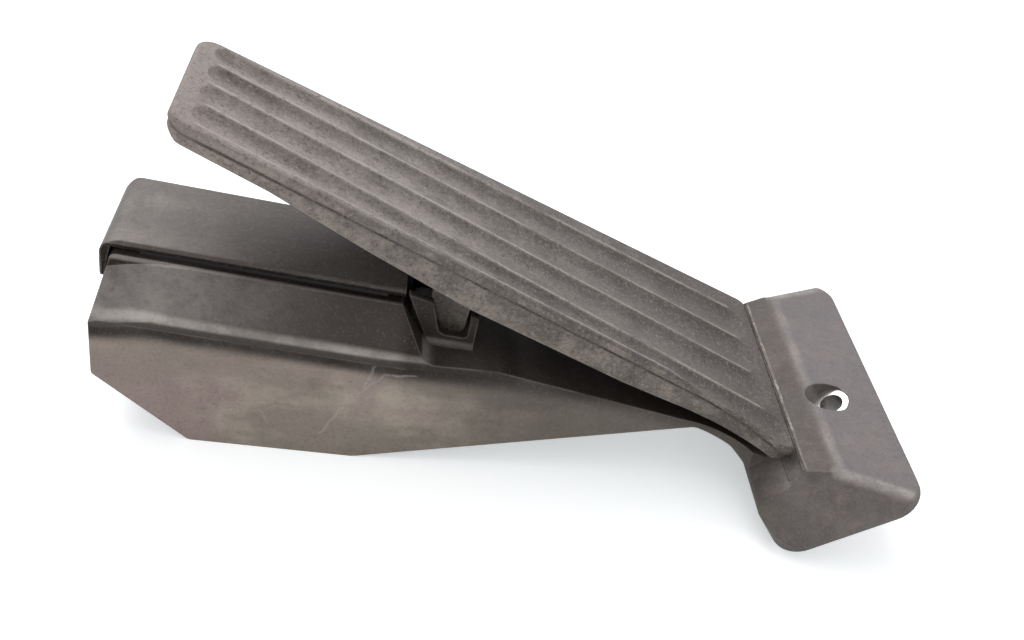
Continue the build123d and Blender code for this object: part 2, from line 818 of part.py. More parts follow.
# Tread: grooved plate, skirt, ribs and the push lug
skirt_line = [
    (0.854, 0.59),
    (0.708, 0.82),
    (0.547, 1.0),
    (0.286, 0.92),
    (0.156, 0.77),
    (0.026, 0.55),
]
tread_skirt = [
    (tread_start, 0.0),
    (tread_length, 0.0),
    (tread_length, -0.38 * skirt_depth),
    (tread_length - 4.0, -0.54 * skirt_depth),
    *[(u * tread_length, -w * skirt_depth) for u, w in skirt_line],
    (tread_start, -tread_thickness),
]
groove_start_u = tread_length - groove_margin
groove_bend_u = tread_waist_u + 8.0
groove_bend_half_width = groove_start_half_width - 0.5
groove_bend_v = tread_waist_half_width - groove_bend_half_width - 1.6
groove_last_v = tread_near_half_width - groove_end_half_width - 1.4
near_groove_v = groove_start_v + 3 * groove_start_pitch
grooves = []
for number in range(3):
    groove_from = (groove_start_u, groove_start_v + number * groove_start_pitch, groove_start_half_width)
    groove_to = (groove_end_u, groove_end_v + number * groove_end_pitch, groove_end_half_width)
    grooves.append((groove_from, groove_to))
near_bend = (groove_bend_u, groove_bend_v, groove_bend_half_width)
grooves.append(((groove_start_u, near_groove_v, groove_start_half_width), near_bend))
grooves.append((near_bend, (groove_end_u - 5.0, groove_last_v, groove_end_half_width - 1.2)))


def draw_tread_outline(inset, start_u):
    """Draw the tread's plan, moved in by the inset, in the open line builder."""
    near_v = tread_near_half_width - inset
    waist_v = tread_waist_half_width - inset
    end_v = tread_end_half_width - inset
    end_u = tread_length - inset
    Polyline(
        (start_u, near_v),
        (start_u, inset - tread_far_half_width),
        (end_u, -end_v),
        (end_u, end_v),
        (tread_waist_u, waist_v),
    )
    ThreePointArc((tread_waist_u, waist_v), (tread_waist_u * 0.45, waist_v + 2.6), (start_u, near_v))
    return [(end_u, -end_v), (end_u, end_v)], [(start_u, near_v), (start_u, inset - tread_far_half_width)]


with BuildPart() as tread_plate:
    # lip of the top plate
    with BuildSketch(tread_top) as tread_outline:
        with BuildLine():
            corners, heels = draw_tread_outline(0.0, tread_start - 1.0)
        make_face()
        fillet(nearest(tread_outline.vertices(), *corners), tread_corner_radius)
        fillet(nearest(tread_outline.vertices(), *heels), tread_heel_radius)
    extrude(amount=-tread_lip)
    # skirt, set in under the lip
    with BuildSketch(tread_top.offset(-tread_lip)) as skirt_outline:
        with BuildLine():
            corners, heels = draw_tread_outline(tread_lip_inset, tread_start - 1.0)
        make_face()
        fillet(nearest(skirt_outline.vertices(), *corners), tread_corner_radius - tread_lip_inset)
        fillet(nearest(skirt_outline.vertices(), *heels), tread_heel_radius)
    extrude(amount=-skirt_depth)
    with BuildSketch(tread_side):
        with BuildLine():
            Polyline(*tread_skirt, close=True)
        make_face()
    extrude(amount=60.0, both=True, mode=Mode.INTERSECT)
    with BuildSketch(tread_top.offset(-tread_thickness)) as tread_inside:
        with BuildLine():
            corners, heels = draw_tread_outline(tread_skirt_wall, tread_start - 4.0)
        make_face()
        fillet(nearest(tread_inside.vertices(), *corners), tread_corner_radius - tread_skirt_wall)
    extrude(amount=-20.0, mode=Mode.SUBTRACT)
    # rounded rim of the top face
    fillet(
        [e for e in tread_plate.edges() if abs(tread_top.to_local_coords(e.center()).Z) < 0.001],
        1.2,
    )
    # ribs between the skirts
    with BuildSketch(tread_top.offset(-tread_thickness + 0.5)):
        with Locations((tread_length * 0.26, -2.0)):
            Rectangle(tread_length * 0.4, 1.8)
        for rib_share in (0.156, 0.286, 0.417):
            with Locations((tread_length * rib_share, 0)):
                Rectangle(1.8, 2 * (tread_waist_half_width - 1.2))
    extrude(amount=-4.5)
    # push lug
    with BuildSketch(Plane.XZ):
        with BuildLine():
            Polyline(
                (lug_x - lug_radius, lug_z),
                (lug_x - 2 * lug_radius, lug_z + 1.6 * lug_radius),
                (lug_x - 1.75 * lug_radius, tread_z(lug_x - 1.75 * lug_radius, tread_thickness - 0.8)),
                (lug_x + 1.5 * lug_radius, tread_z(lug_x + 1.5 * lug_radius, tread_thickness - 0.8)),
                (lug_x + lug_radius, lug_z),
            )
            ThreePointArc(
                (lug_x + lug_radius, lug_z),
                (lug_x, lug_z - lug_radius),
                (lug_x - lug_radius, lug_z),
            )
        make_face()
    extrude(amount=lug_half_width, both=True)
    # shallow grooves along the top, each a tapered round-ended cut
    for (start_u, start_v, start_half), (end_u, end_v, end_half) in grooves:
        start_radius = (start_half**2 + groove_depth**2) / (2 * groove_depth)
        end_radius = (end_half**2 + groove_depth**2) / (2 * groove_depth)
        start = tread_top.from_local_coords((start_u, start_v, start_radius - groove_depth))
        end = tread_top.from_local_coords((end_u, end_v, end_radius - groove_depth))
        run = end - start
        lean = asin((end_radius - start_radius) / run.length)
        start_edge = (-start_radius * sin(lean), start_radius * cos(lean))
        end_edge = (run.length - end_radius * sin(lean), end_radius * cos(lean))
        with BuildSketch(Plane(origin=start, x_dir=run, z_dir=run.cross(Vector(0, 1, 0)))):
            with BuildLine():
                RadiusArc((-start_radius, 0.0), start_edge, start_radius)
                Line(start_edge, end_edge)
                RadiusArc(end_edge, (run.length + end_radius, 0.0), end_radius)
                Line((run.length + end_radius, 0.0), (-start_radius, 0.0))
            make_face()
        revolve(axis=Axis(start, run), mode=Mode.SUBTRACT)
tread_plate.part.label = "tread_plate"
export_step(tread_plate.part, "parts/tread_plate.step")

# Drive lever under the push lug
pad_z = lug_z - lug_radius - pad_gap
with BuildPart() as drive_lever:
    with BuildSketch(Plane.XZ.offset(-lever_half_width)):
        with BuildLine():
            Polyline(
                (pivot_x + 4.0, pivot_z + 6.5),
                (lug_x - 40.0, pad_z - 1.8),
                (lug_x - 13.0, pad_z),
                (window_stop_x - 0.6, pad_z),
                (window_stop_x - 0.4, pad_z - 4.0),
                (lug_x - 14.0, pad_z - 8.0),
                (spring_x + 10.0, spring_top_z),
                (spring_x - 10.0, spring_top_z),
                (pivot_x + 5.0, pivot_z - 6.5),
                close=True,
            )
        make_face()
    extrude(amount=2 * lever_half_width)
    with BuildSketch(Plane.XZ.offset(-hub_far_y)):
        with Locations((pivot_x, pivot_z)):
            Circle(hub_radius)
    extrude(amount=hub_far_y - hub_near_y)
    with BuildSketch(Plane.XZ.offset(-pad_half_width)):
        with Locations((window_stop_x - 0.6, pad_z)):
            Rectangle(15.5, 3.0, align=(Align.MAX, Align.MAX))
    extrude(amount=2 * pad_half_width)
    with BuildSketch(Plane.XZ.offset(-20.0)):
        with Locations((pivot_x, pivot_z)):
            Circle(hub_bush_radius + press_gap)
    extrude(amount=40.0, mode=Mode.SUBTRACT)
drive_lever.part.label = "drive_lever"
export_step(drive_lever.part, "parts/drive_lever.step")

# Plain bushes pressed into the lever's hub
with BuildPart() as hub_bushes:
    with BuildSketch(Plane.XZ.offset(-hub_far_y)):
        with Locations((pivot_x, pivot_z)):
            Circle(hub_bush_radius)
            Circle(axle_radius + running_gap, mode=Mode.SUBTRACT)
    extrude(amount=hub_bush_length)
    with BuildSketch(Plane.XZ.offset(-hub_near_y)):
        with Locations((pivot_x, pivot_z)):
            Circle(hub_bush_radius)
            Circle(axle_radius + running_gap, mode=Mode.SUBTRACT)
    extrude(amount=-hub_bush_length)
hub_bushes.part.label = "hub_bushes"
export_step(hub_bushes.part, "parts/hub_bushes.step")

# Axle of the lever
axle_near_y = housing_shoulder_half_width - axle_cover - 0.1
with BuildPart() as lever_axle:
    with BuildSketch(Plane.XZ.offset(axle_near_y)):
        with Locations((pivot_x, pivot_z)):
            Circle(axle_radius)
    extrude(amount=-(axle_near_y + housing_shoulder_half_width - 1.0))
lever_axle.part.label = "lever_axle"
export_step(lever_axle.part, "parts/lever_axle.step")

# Spring seat on the base cover
seat_z = base_recess + base_thickness
with BuildPart() as spring_seat:
    with BuildSketch(Plane.XY.offset(seat_z + 0.02)):
        with Locations((spring_x, 0)):
            Circle(outer_spring_radius + outer_wire / 2 + 0.6)
    extrude(amount=seat_flange)
    with BuildSketch(Plane.XY.offset(seat_z + 0.02)):
        with Locations((spring_x, 0)):
            Circle(inner_spring_radius - inner_wire / 2 - 0.4)
    extrude(amount=seat_post)
spring_seat.part.label = "spring_seat"
export_step(spring_seat.part, "parts/spring_seat.step")



def coil_points(radius, low_z, high_z, turns, hand):
    """Points along a coil's middle line, enough per turn to look round."""
    count = round(turns * coil_steps)
    points = []
    for step in range(count + 1):
        angle = radians(360.0 * step / coil_steps)
        height = low_z + (high_z - low_z) * step / count
        points.append((spring_x + radius * cos(angle), hand * radius * sin(angle), height))
    return points


# Two return springs, one inside the other
spring_low_z = seat_z + seat_flange + 0.1
outer_low_z = spring_low_z + outer_wire / 2
outer_high_z = spring_top_z - outer_wire / 2 - 0.1
with BuildPart() as outer_return_spring:
    with BuildLine():
        outer_coil = Polyline(*coil_points(outer_spring_radius, outer_low_z, outer_high_z, outer_turns, 1))
    with BuildSketch(Plane(origin=outer_coil @ 0, z_dir=outer_coil % 0)):
        RegularPolygon(outer_wire / 2, wire_sides)
    sweep(transition=Transition.RIGHT)
outer_return_spring.part.label = "outer_return_spring"
export_step(outer_return_spring.part, "parts/outer_return_spring.step")

inner_low_z = spring_low_z + inner_wire / 2
inner_high_z = spring_top_z - inner_wire / 2 - 0.1
with BuildPart() as inner_return_spring:
    with BuildLine():
        inner_coil = Polyline(*coil_points(inner_spring_radius, inner_low_z, inner_high_z, inner_turns, -1))
    with BuildSketch(Plane(origin=inner_coil @ 0, z_dir=inner_coil % 0)):
        RegularPolygon(inner_wire / 2, wire_sides)
    sweep(transition=Transition.RIGHT)
inner_return_spring.part.label = "inner_return_spring"
export_step(inner_return_spring.part, "parts/inner_return_spring.step")

# Friction shoe on the hub, carried by the top cover
shoe_low_x = pivot_x - shoe_behind
shoe_high_x = pivot_x + shoe_ahead
with BuildPart() as friction_shoe:
    with BuildSketch(Plane.XZ):
        with BuildLine():
            Polyline(
                (shoe_low_x, pivot_z + 2.0),
                (shoe_high_x, pivot_z + 2.0),
                (shoe_high_x, deck_z(shoe_high_x) - cover_thickness - 0.03),
                (shoe_low_x, deck_z(shoe_low_x) - cover_thickness - 0.03),
                close=True,
            )
        make_face()
        with Locations((pivot_x, pivot_z)):
            Circle(hub_radius + 0.3, mode=Mode.SUBTRACT)
    extrude(amount=shoe_half_width, both=True)
friction_shoe.part.label = "friction_shoe"
export_step(friction_shoe.part, "parts/friction_shoe.step")

# Rotor that the sensor reads
with BuildPart() as sensor_rotor:
    with BuildSketch(Plane.XZ.offset(-hub_far_y - 0.02)):
        with Locations((pivot_x, pivot_z)):
            Circle(rotor_radius)
            Circle(axle_radius + 0.6, mode=Mode.SUBTRACT)
    extrude(amount=-rotor_thickness)
sensor_rotor.part.label = "sensor_rotor"
export_step(sensor_rotor.part, "parts/sensor_rotor.step")

# Sensor board on its pegs
with BuildPart() as sensor_board:
    with BuildSketch(Plane.XZ.offset(-board_near_y)):
        with Locations((board_start_x, board_mid_z)):
            Rectangle(board_length, board_height, align=(Align.MIN, Align.CENTER))
        with Locations((pivot_x, pivot_z)):
            Circle(axle_radius + 1.5, mode=Mode.SUBTRACT)
    extrude(amount=-board_thickness)
sensor_board.part.label = "sensor_board"
export_step(sensor_board.part, "parts/sensor_board.step")

# Chips on the back of the sensor board
with BuildPart() as sensor_chips:
    with BuildSketch(Plane.XZ.offset(-board_back_y - 0.02)):
        with Locations(
            (board_start_x + chip_inset, pivot_z + chip_pitch / 2),
            (board_start_x + chip_inset, pivot_z - chip_pitch / 2),
            (board_stop_x - chip_inset, pivot_z + chip_pitch / 4),
        ):
            Rectangle(chip_size, chip_size)
    extrude(amount=-chip_height)
sensor_chips.part.label = "sensor_chips"
export_step(sensor_chips.part, "parts/sensor_chips.step")

# Terminals from the socket to the board
with BuildPart() as terminals:
    for row_z in (socket_mid_z - pin_pitch_z / 2, socket_mid_z + pin_pitch_z / 2):
        for column in (-1, 0, 1):
            column_y = column * pin_pitch_y
            leg_x = board_start_x + leg_inset + (1 - column) * leg_pitch
            with BuildSketch(Plane.XY.offset(row_z - pin_thickness / 2)):
                with Locations((housing_end_x + 6.0, column_y)):
                    Rectangle(
                        leg_x + pin_width / 2 - housing_end_x - 6.0,
                        pin_width,
                        align=(Align.MIN, Align.CENTER),
                    )
                with Locations((leg_x, column_y - pin_width / 2)):
                    Rectangle(
                        pin_width,
                        board_near_y - 0.02 - column_y + pin_width / 2,
                        align=(Align.CENTER, Align.MIN),
                    )
            extrude(amount=pin_thickness)
terminals.part.label = "terminals"
export_step(terminals.part, "parts/terminals.step")

# Rubber stops for the lever
with BuildPart() as idle_stop:
    with BuildSketch(Plane.XZ):
        with BuildLine():
            Polyline(
                (idle_x, pad_z + 0.2),
                (idle_x + stop_size, pad_z + 0.2),
                (idle_x + stop_size, deck_z(idle_x + stop_size) - cover_thickness - 0.03),
                (idle_x, deck_z(idle_x) - cover_thickness - 0.03),
                close=True,
            )
        make_face()
    extrude(amount=stop_size / 2, both=True)
idle_stop.part.label = "idle_stop"
export_step(idle_stop.part, "parts/idle_stop.step")

with BuildPart() as full_stop:
    with BuildSketch(slope_base.offset(base_recess + base_thickness + 0.02)):
        with Locations((full_u, 0)):
            Rectangle(stop_size, stop_size)
    extrude(amount=full_height)
full_stop.part.label = "full_stop"
export_step(full_stop.part, "parts/full_stop.step")

# Gasket between the top cover and the housing rim
with BuildPart() as cover_gasket:
    with BuildSketch(Plane.XZ):
        with BuildLine():
            Polyline(
                (slot_start_x - 3.0, deck_z(slot_start_x - 3.0) - cover_thickness - 0.03),
                (slot_stop_x + 3.0, deck_z(slot_stop_x + 3.0) - cover_thickness - 0.03),
                (slot_stop_x + 3.0, deck_z(slot_stop_x + 3.0) - rim_drop + 0.03),
                (slot_start_x - 3.0, deck_z(slot_start_x - 3.0) - rim_drop + 0.03),
                close=True,
            )
        make_face()
    extrude(amount=slot_half_width + 1.6, both=True)
    with BuildSketch(Plane.XY.offset(30.0)):
        with Locations(((slot_start_x + slot_stop_x) / 2, 0)):
            Rectangle(slot_stop_x - slot_start_x + 0.4, 2 * slot_half_width + 0.4)
    extrude(amount=40.0, mode=Mode.SUBTRACT)
cover_gasket.part.label = "cover_gasket"
export_step(cover_gasket.part, "parts/cover_gasket.step")
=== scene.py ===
"""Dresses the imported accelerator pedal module: finishes, dirt, stage and camera."""
import math

import bmesh
import bpy
from bpy.props import FloatProperty, FloatVectorProperty, PointerProperty
from mathutils import Matrix, Vector


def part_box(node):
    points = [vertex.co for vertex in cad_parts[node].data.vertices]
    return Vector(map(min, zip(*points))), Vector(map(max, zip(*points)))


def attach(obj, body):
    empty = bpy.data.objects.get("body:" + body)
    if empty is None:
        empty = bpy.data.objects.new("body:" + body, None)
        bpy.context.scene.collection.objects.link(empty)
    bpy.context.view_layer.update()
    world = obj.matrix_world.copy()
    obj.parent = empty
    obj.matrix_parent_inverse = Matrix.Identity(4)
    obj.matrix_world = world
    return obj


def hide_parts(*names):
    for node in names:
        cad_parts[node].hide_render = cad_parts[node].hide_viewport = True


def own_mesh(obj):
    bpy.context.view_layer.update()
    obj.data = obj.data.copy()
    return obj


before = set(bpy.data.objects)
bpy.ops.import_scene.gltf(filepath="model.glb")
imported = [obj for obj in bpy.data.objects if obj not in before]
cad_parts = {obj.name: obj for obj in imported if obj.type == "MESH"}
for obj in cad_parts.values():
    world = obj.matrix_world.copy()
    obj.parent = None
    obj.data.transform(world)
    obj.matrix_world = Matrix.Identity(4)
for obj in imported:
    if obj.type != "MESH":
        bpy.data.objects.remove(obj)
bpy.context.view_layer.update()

bl_info = {
    "name": "Accelerator Pedal Dressing",
    "version": (1, 0, 0),
    "blender": (4, 5, 0),
    "location": "View3D > Sidebar > Pedal",
    "description": "Finishes the packed accelerator pedal module and sets its stage",
    "category": "Object",
}

# Places and angles of the solids that the finishes are laid out by
HINGE_X = 0.082
HINGE_Z = 0.025
TREAD_RISE = math.radians(22.3)
TREAD_LENGTH = 0.19
LIP_DEPTH = 0.0030
FOOT_X = 0.0802
FOOT_RISE = math.radians(38.8)
ROOF_FALL = math.tan(math.radians(3.0))
RIM_HALF_WIDTH = 0.0162
WINDOW_X = -0.018
WINDOW_HALF_LENGTH = 0.014

# Upper edge of the neck: its height at x 0 and its fall along x
NECK_CREST_Z = 0.0362
NECK_FALL = 0.26

# Lines on the foot plate, as distances up it, and the bolt hole's bush
STRIP_SEAM_UP = 0.0160
SEAM_UP = 0.0174
TROUGH_UP = 0.0206
RIDGE_UP = 0.0262
BUSH_UP = 0.0303
BUSH_Y = -0.009
BUSH_BORE_RADIUS = 0.0034

# Lines along the housing, as heights with the roof's fall taken out
BEAD_SHADE_LINE = 0.0316
BEAD_ROLL_LINE = 0.0356
# height of the painted highlight along the bead
BEAD_HIGHLIGHT_LINE = 0.0365
COVER_EDGE_LINE = 0.0494

# Crests between the grooves, far to near: distance from the hinge, and from the middle towards
# the near edge
CRESTS = (
    ((0.183, -0.0212), (0.013, -0.0291)),
    ((0.183, -0.01145), (0.013, -0.0136)),
    ((0.183, -0.00095), (0.013, 0.0022)),
    ((0.183, 0.00955), (0.046, 0.0151), (0.010, 0.0184)),
    ((0.183, 0.0193), (0.046, 0.0222), (0.008, 0.0320)),
)

# Hips of the foot plate: distance up it, height over its underside and y, at each end
HIPS = (
    ((0.0250, 0.0150, -0.0400), (0.0425, 0.0040, -0.0478)),
    ((0.0250, 0.0150, 0.0400), (0.0425, 0.0040, 0.0478)),
)

# Scratches on the near wall: start x and z, end x and z
SCRATCHES = (
    (-0.0533, 0.0080, -0.0487, 0.0173),
    (-0.0487, 0.0173, -0.0435, 0.0249),
    (-0.0435, 0.0249, -0.0383, 0.0314),
    (-0.0435, 0.0249, -0.0411, 0.0340),
    (-0.0383, 0.0314, -0.0301, 0.0322),
    (-0.0701, 0.0139, -0.0677, 0.0097),
)

INSIDE_FINISHES = {
    "drive_lever": "lever_plastic",
    "spring_seat": "pale_plastic",
    "friction_shoe": "pale_plastic",
    "sensor_board": "board_mask",
    "sensor_chips": "chip_plastic",
    "idle_stop": "stop_rubber",
    "full_stop": "stop_rubber",
    "cover_gasket": "stop_rubber",
}
METAL_FINISHES = {
    "mounting_bush": "bush_steel",
    "base_screws": "zinc_steel",
    "lever_axle": "axle_steel",
    "outer_return_spring": "spring_wire",
    "inner_return_spring": "spring_wire",
    "sensor_rotor": "rotor_metal",
    "hub_bushes": "bearing_bronze",
    "terminals": "tinned_brass",
}

# Clean mouldings: colour, roughness and drift of the colour
MOULDINGS = {
    "lever_plastic": ((0.030, 0.029, 0.028), 0.48, 0.18),
    "pale_plastic": ((0.60, 0.57, 0.50), 0.42, 0.08),
    "chip_plastic": ((0.014, 0.014, 0.015), 0.55, 0.18),
    "stop_rubber": ((0.018, 0.018, 0.018), 0.82, 0.18),
    "board_mask": ((0.012, 0.085, 0.035), 0.30, 0.18),
}

# Worked metals: colour, roughness and strength of the tool marks
METALS = {
    "axle_steel": ((0.46, 0.45, 0.44), 0.40, 0.04),
    "zinc_steel": ((0.60, 0.61, 0.62), 0.38, 0.12),
    "spring_wire": ((0.36, 0.36, 0.37), 0.42, 0.12),
    "rotor_metal": ((0.76, 0.76, 0.77), 0.34, 0.12),
    "bearing_bronze": ((0.60, 0.43, 0.24), 0.45, 0.12),
    "tinned_brass": ((0.72, 0.68, 0.56), 0.30, 0.12),
}
BUSH_COLOUR = (0.68, 0.67, 0.66)
# painted shade inside the bush's bore
BORE_SHADE_COLOUR = (0.13, 0.12, 0.11)
TARNISH_COLOUR = (0.42, 0.39, 0.36)

# Round-wire coils that stand for the spring solids: piece, wire, turns and hand
COILS = {
    "outer_return_spring": ("outer_spring_coil", 0.0017, 3.5, 1.0),
    "inner_return_spring": ("inner_spring_coil", 0.0012, 4.5, -1.0),
}
# Steps in a turn and sides of the wire
COIL_STEPS = 26
COIL_SIDES = 8

# Soft lights: place, side and power
SOFTBOXES = {
    "back_softbox": ((-0.30, 0.66, 0.90), 0.6, 7.0),
    "top_softbox": ((-0.30, 0.10, 1.2), 0.9, 2.5),
    "front_softbox": ((-0.2, -1.0, 0.45), 0.9, 1.0),
}
LIGHT_AIM = (0.0, 0.0, 0.03)

# Surroundings and table top, with the lift that makes them white where they are seen
WORLD_COLOUR = (1.0, 0.99, 0.985)
WORLD_STRENGTH = 0.72
WORLD_LIFT = 0.30
TABLE_GLOW = (0.95, 0.99, 1.0)
TABLE_LIFT = 0.46


class PedalFinish(bpy.types.PropertyGroup):
    """Colours, wear and painted shade of the moulded parts."""

    plastic_colour: FloatVectorProperty(
        name="Plastic", description="Bare moulded plastic", subtype="COLOR", size=3,
        default=(0.042, 0.034, 0.030), min=0.0, max=1.0,
    )
    dust_colour: FloatVectorProperty(
        name="Dust", description="Dry dust on upper faces", subtype="COLOR", size=3,
        default=(0.262, 0.240, 0.229), min=0.0, max=1.0,
    )
    # rubbed edges and specks, and also the painted highlights on the bead, the rim's edge, the foot's ridge
    # and hips and the tread's crests
    wear_and_highlight_colour: FloatVectorProperty(
        name="Worn edge", description="Rubbed plastic along edges", subtype="COLOR", size=3,
        default=(0.430, 0.400, 0.375), min=0.0, max=1.0,
    )
    # painted shade: the colour laid in gaps, under edges and under other parts, where shade falls
    painted_shade_colour: FloatVectorProperty(
        name="Hollow", description="Grime in gaps and under edges", subtype="COLOR", size=3,
        default=(0.014, 0.010, 0.008), min=0.0, max=1.0,
    )
    grain_size: FloatProperty(
        name="Grain", description="Size of the moulded grain", unit="LENGTH",
        default=0.0006, min=0.0001, max=0.01,
    )
    edge_radius: FloatProperty(
        name="Edge radius", description="Width of the rubbed edges", unit="LENGTH",
        default=0.0008, min=0.0001, max=0.01,
    )


class PedalDirt(bpy.types.PropertyGroup):
    """Film on the walls, scratches, bloom and the dirt along the hinge seam."""

    film_colour: FloatVectorProperty(
        name="Film", description="Olive film low on the housing", subtype="COLOR", size=3,
        default=(0.390, 0.345, 0.288), min=0.0, max=1.0,
    )
    stain_colour: FloatVectorProperty(
        name="Stain", description="Brown patches in the film and the dust", subtype="COLOR", size=3,
        default=(0.268, 0.204, 0.192), min=0.0, max=1.0,
    )
    scratch_colour: FloatVectorProperty(
        name="Scratch", description="Light scratches on the near wall", subtype="COLOR", size=3,
        default=(0.360, 0.320, 0.295), min=0.0, max=1.0,
    )
    scratch_width: FloatProperty(
        name="Scratch width", description="Half the width of a scratch", unit="LENGTH",
        default=0.0003, min=0.00005, max=0.005,
    )
    bloom_colour: FloatVectorProperty(
        name="Bloom", description="Grey bloom on the upper face of the foot plate", subtype="COLOR", size=3,
        default=(0.172, 0.160, 0.167), min=0.0, max=1.0,
    )
    seam_colour: FloatVectorProperty(
        name="Seam dirt", description="Dry dirt caught along the hinge seam", subtype="COLOR", size=3,
        default=(0.480, 0.440, 0.395), min=0.0, max=1.0,
    )
    seam_width: FloatProperty(
        name="Seam width", description="Half the width of the dirt along the seam", unit="LENGTH",
        default=0.00025, min=0.00005, max=0.005,
    )


class PedalStage(bpy.types.PropertyGroup):
    """Floor, light and camera."""

    floor_colour: FloatVectorProperty(
        name="Floor", description="Pale table top", subtype="COLOR", size=3, default=(0.86, 0.87, 0.88),
        min=0.0, max=1.0,
    )
    floor_size: FloatProperty(
        name="Floor size", description="Side of the table top", unit="LENGTH", default=6.0, min=1.0, max=20.0,
    )
    camera_place: FloatVectorProperty(
        name="Camera place", description="Where the photo was taken from", subtype="TRANSLATION", size=3,
        default=(-0.05232, -0.23745, 0.22131),
    )
    camera_turn: FloatVectorProperty(
        name="Camera turn", description="How the camera was turned", subtype="EULER", size=3,
        default=(math.radians(51.600), math.radians(-11.469), math.radians(-2.847)),
    )
    camera_lens: FloatProperty(
        name="Lens", description="Focal length", unit="CAMERA", default=36.914, min=10.0, max=200.0,
    )


def plug(tree, socket, value):
    """Links a socket to an input, or sets the input to a plain value."""
    if isinstance(value, bpy.types.NodeSocket):
        tree.links.new(value, socket)
    elif socket.type == "RGBA":
        socket.default_value = (*value, 1.0)
    else:
        socket.default_value = value


def add_node(tree, kind, **inputs):
    """A shader node whose named inputs are linked or set."""
    node = tree.nodes.new(kind)
    for key, value in inputs.items():
        plug(tree, node.inputs[key.replace("_", " ")], value)
    return node


def math_node(tree, operation, first, second=0.5):
    """Result of a math node."""
    node = tree.nodes.new("ShaderNodeMath")
    node.operation = operation
    plug(tree, node.inputs[0], first)
    plug(tree, node.inputs[1], second)
    return node.outputs[0]


def ramp(tree, value, low, high, to_low=0.0, to_high=1.0):
    """Value mapped smoothly from one range to another, clamped."""
    node = add_node(tree, "ShaderNodeMapRange", Value=value)
    node.interpolation_type = "SMOOTHSTEP"
    node.inputs["From Min"].default_value = low
    node.inputs["From Max"].default_value = high
    node.inputs["To Min"].default_value = to_low
    node.inputs["To Max"].default_value = to_high
    return node.outputs["Result"]


def mix_colour(tree, factor, first, second):
    """Two colours mixed by a factor."""
    node = tree.nodes.new("ShaderNodeMix")
    node.data_type = "RGBA"
    plug(tree, node.inputs[0], factor)
    plug(tree, node.inputs[6], first)
    plug(tree, node.inputs[7], second)
    return node.outputs[2]


def noise(tree, vector, scale, detail=3.0, roughness=0.55):
    """Value of a noise texture."""
    node = add_node(
        tree, "ShaderNodeTexNoise", Vector=vector, Scale=scale, Detail=detail, Roughness=roughness,
    )
    return node.outputs[0]


def stretched(tree, vector, scale, turn=(0.0, 0.0, 0.0)):
    """Coordinates scaled and turned by a Mapping node."""
    node = add_node(tree, "ShaderNodeMapping", Vector=vector, Scale=scale, Rotation=turn)
    return node.outputs[0]


def new_material(name):
    """An empty node material and its shader."""
    material = bpy.data.materials.new(name)
    material.use_nodes = True
    tree = material.node_tree
    return material, tree, tree.nodes["Principled BSDF"]


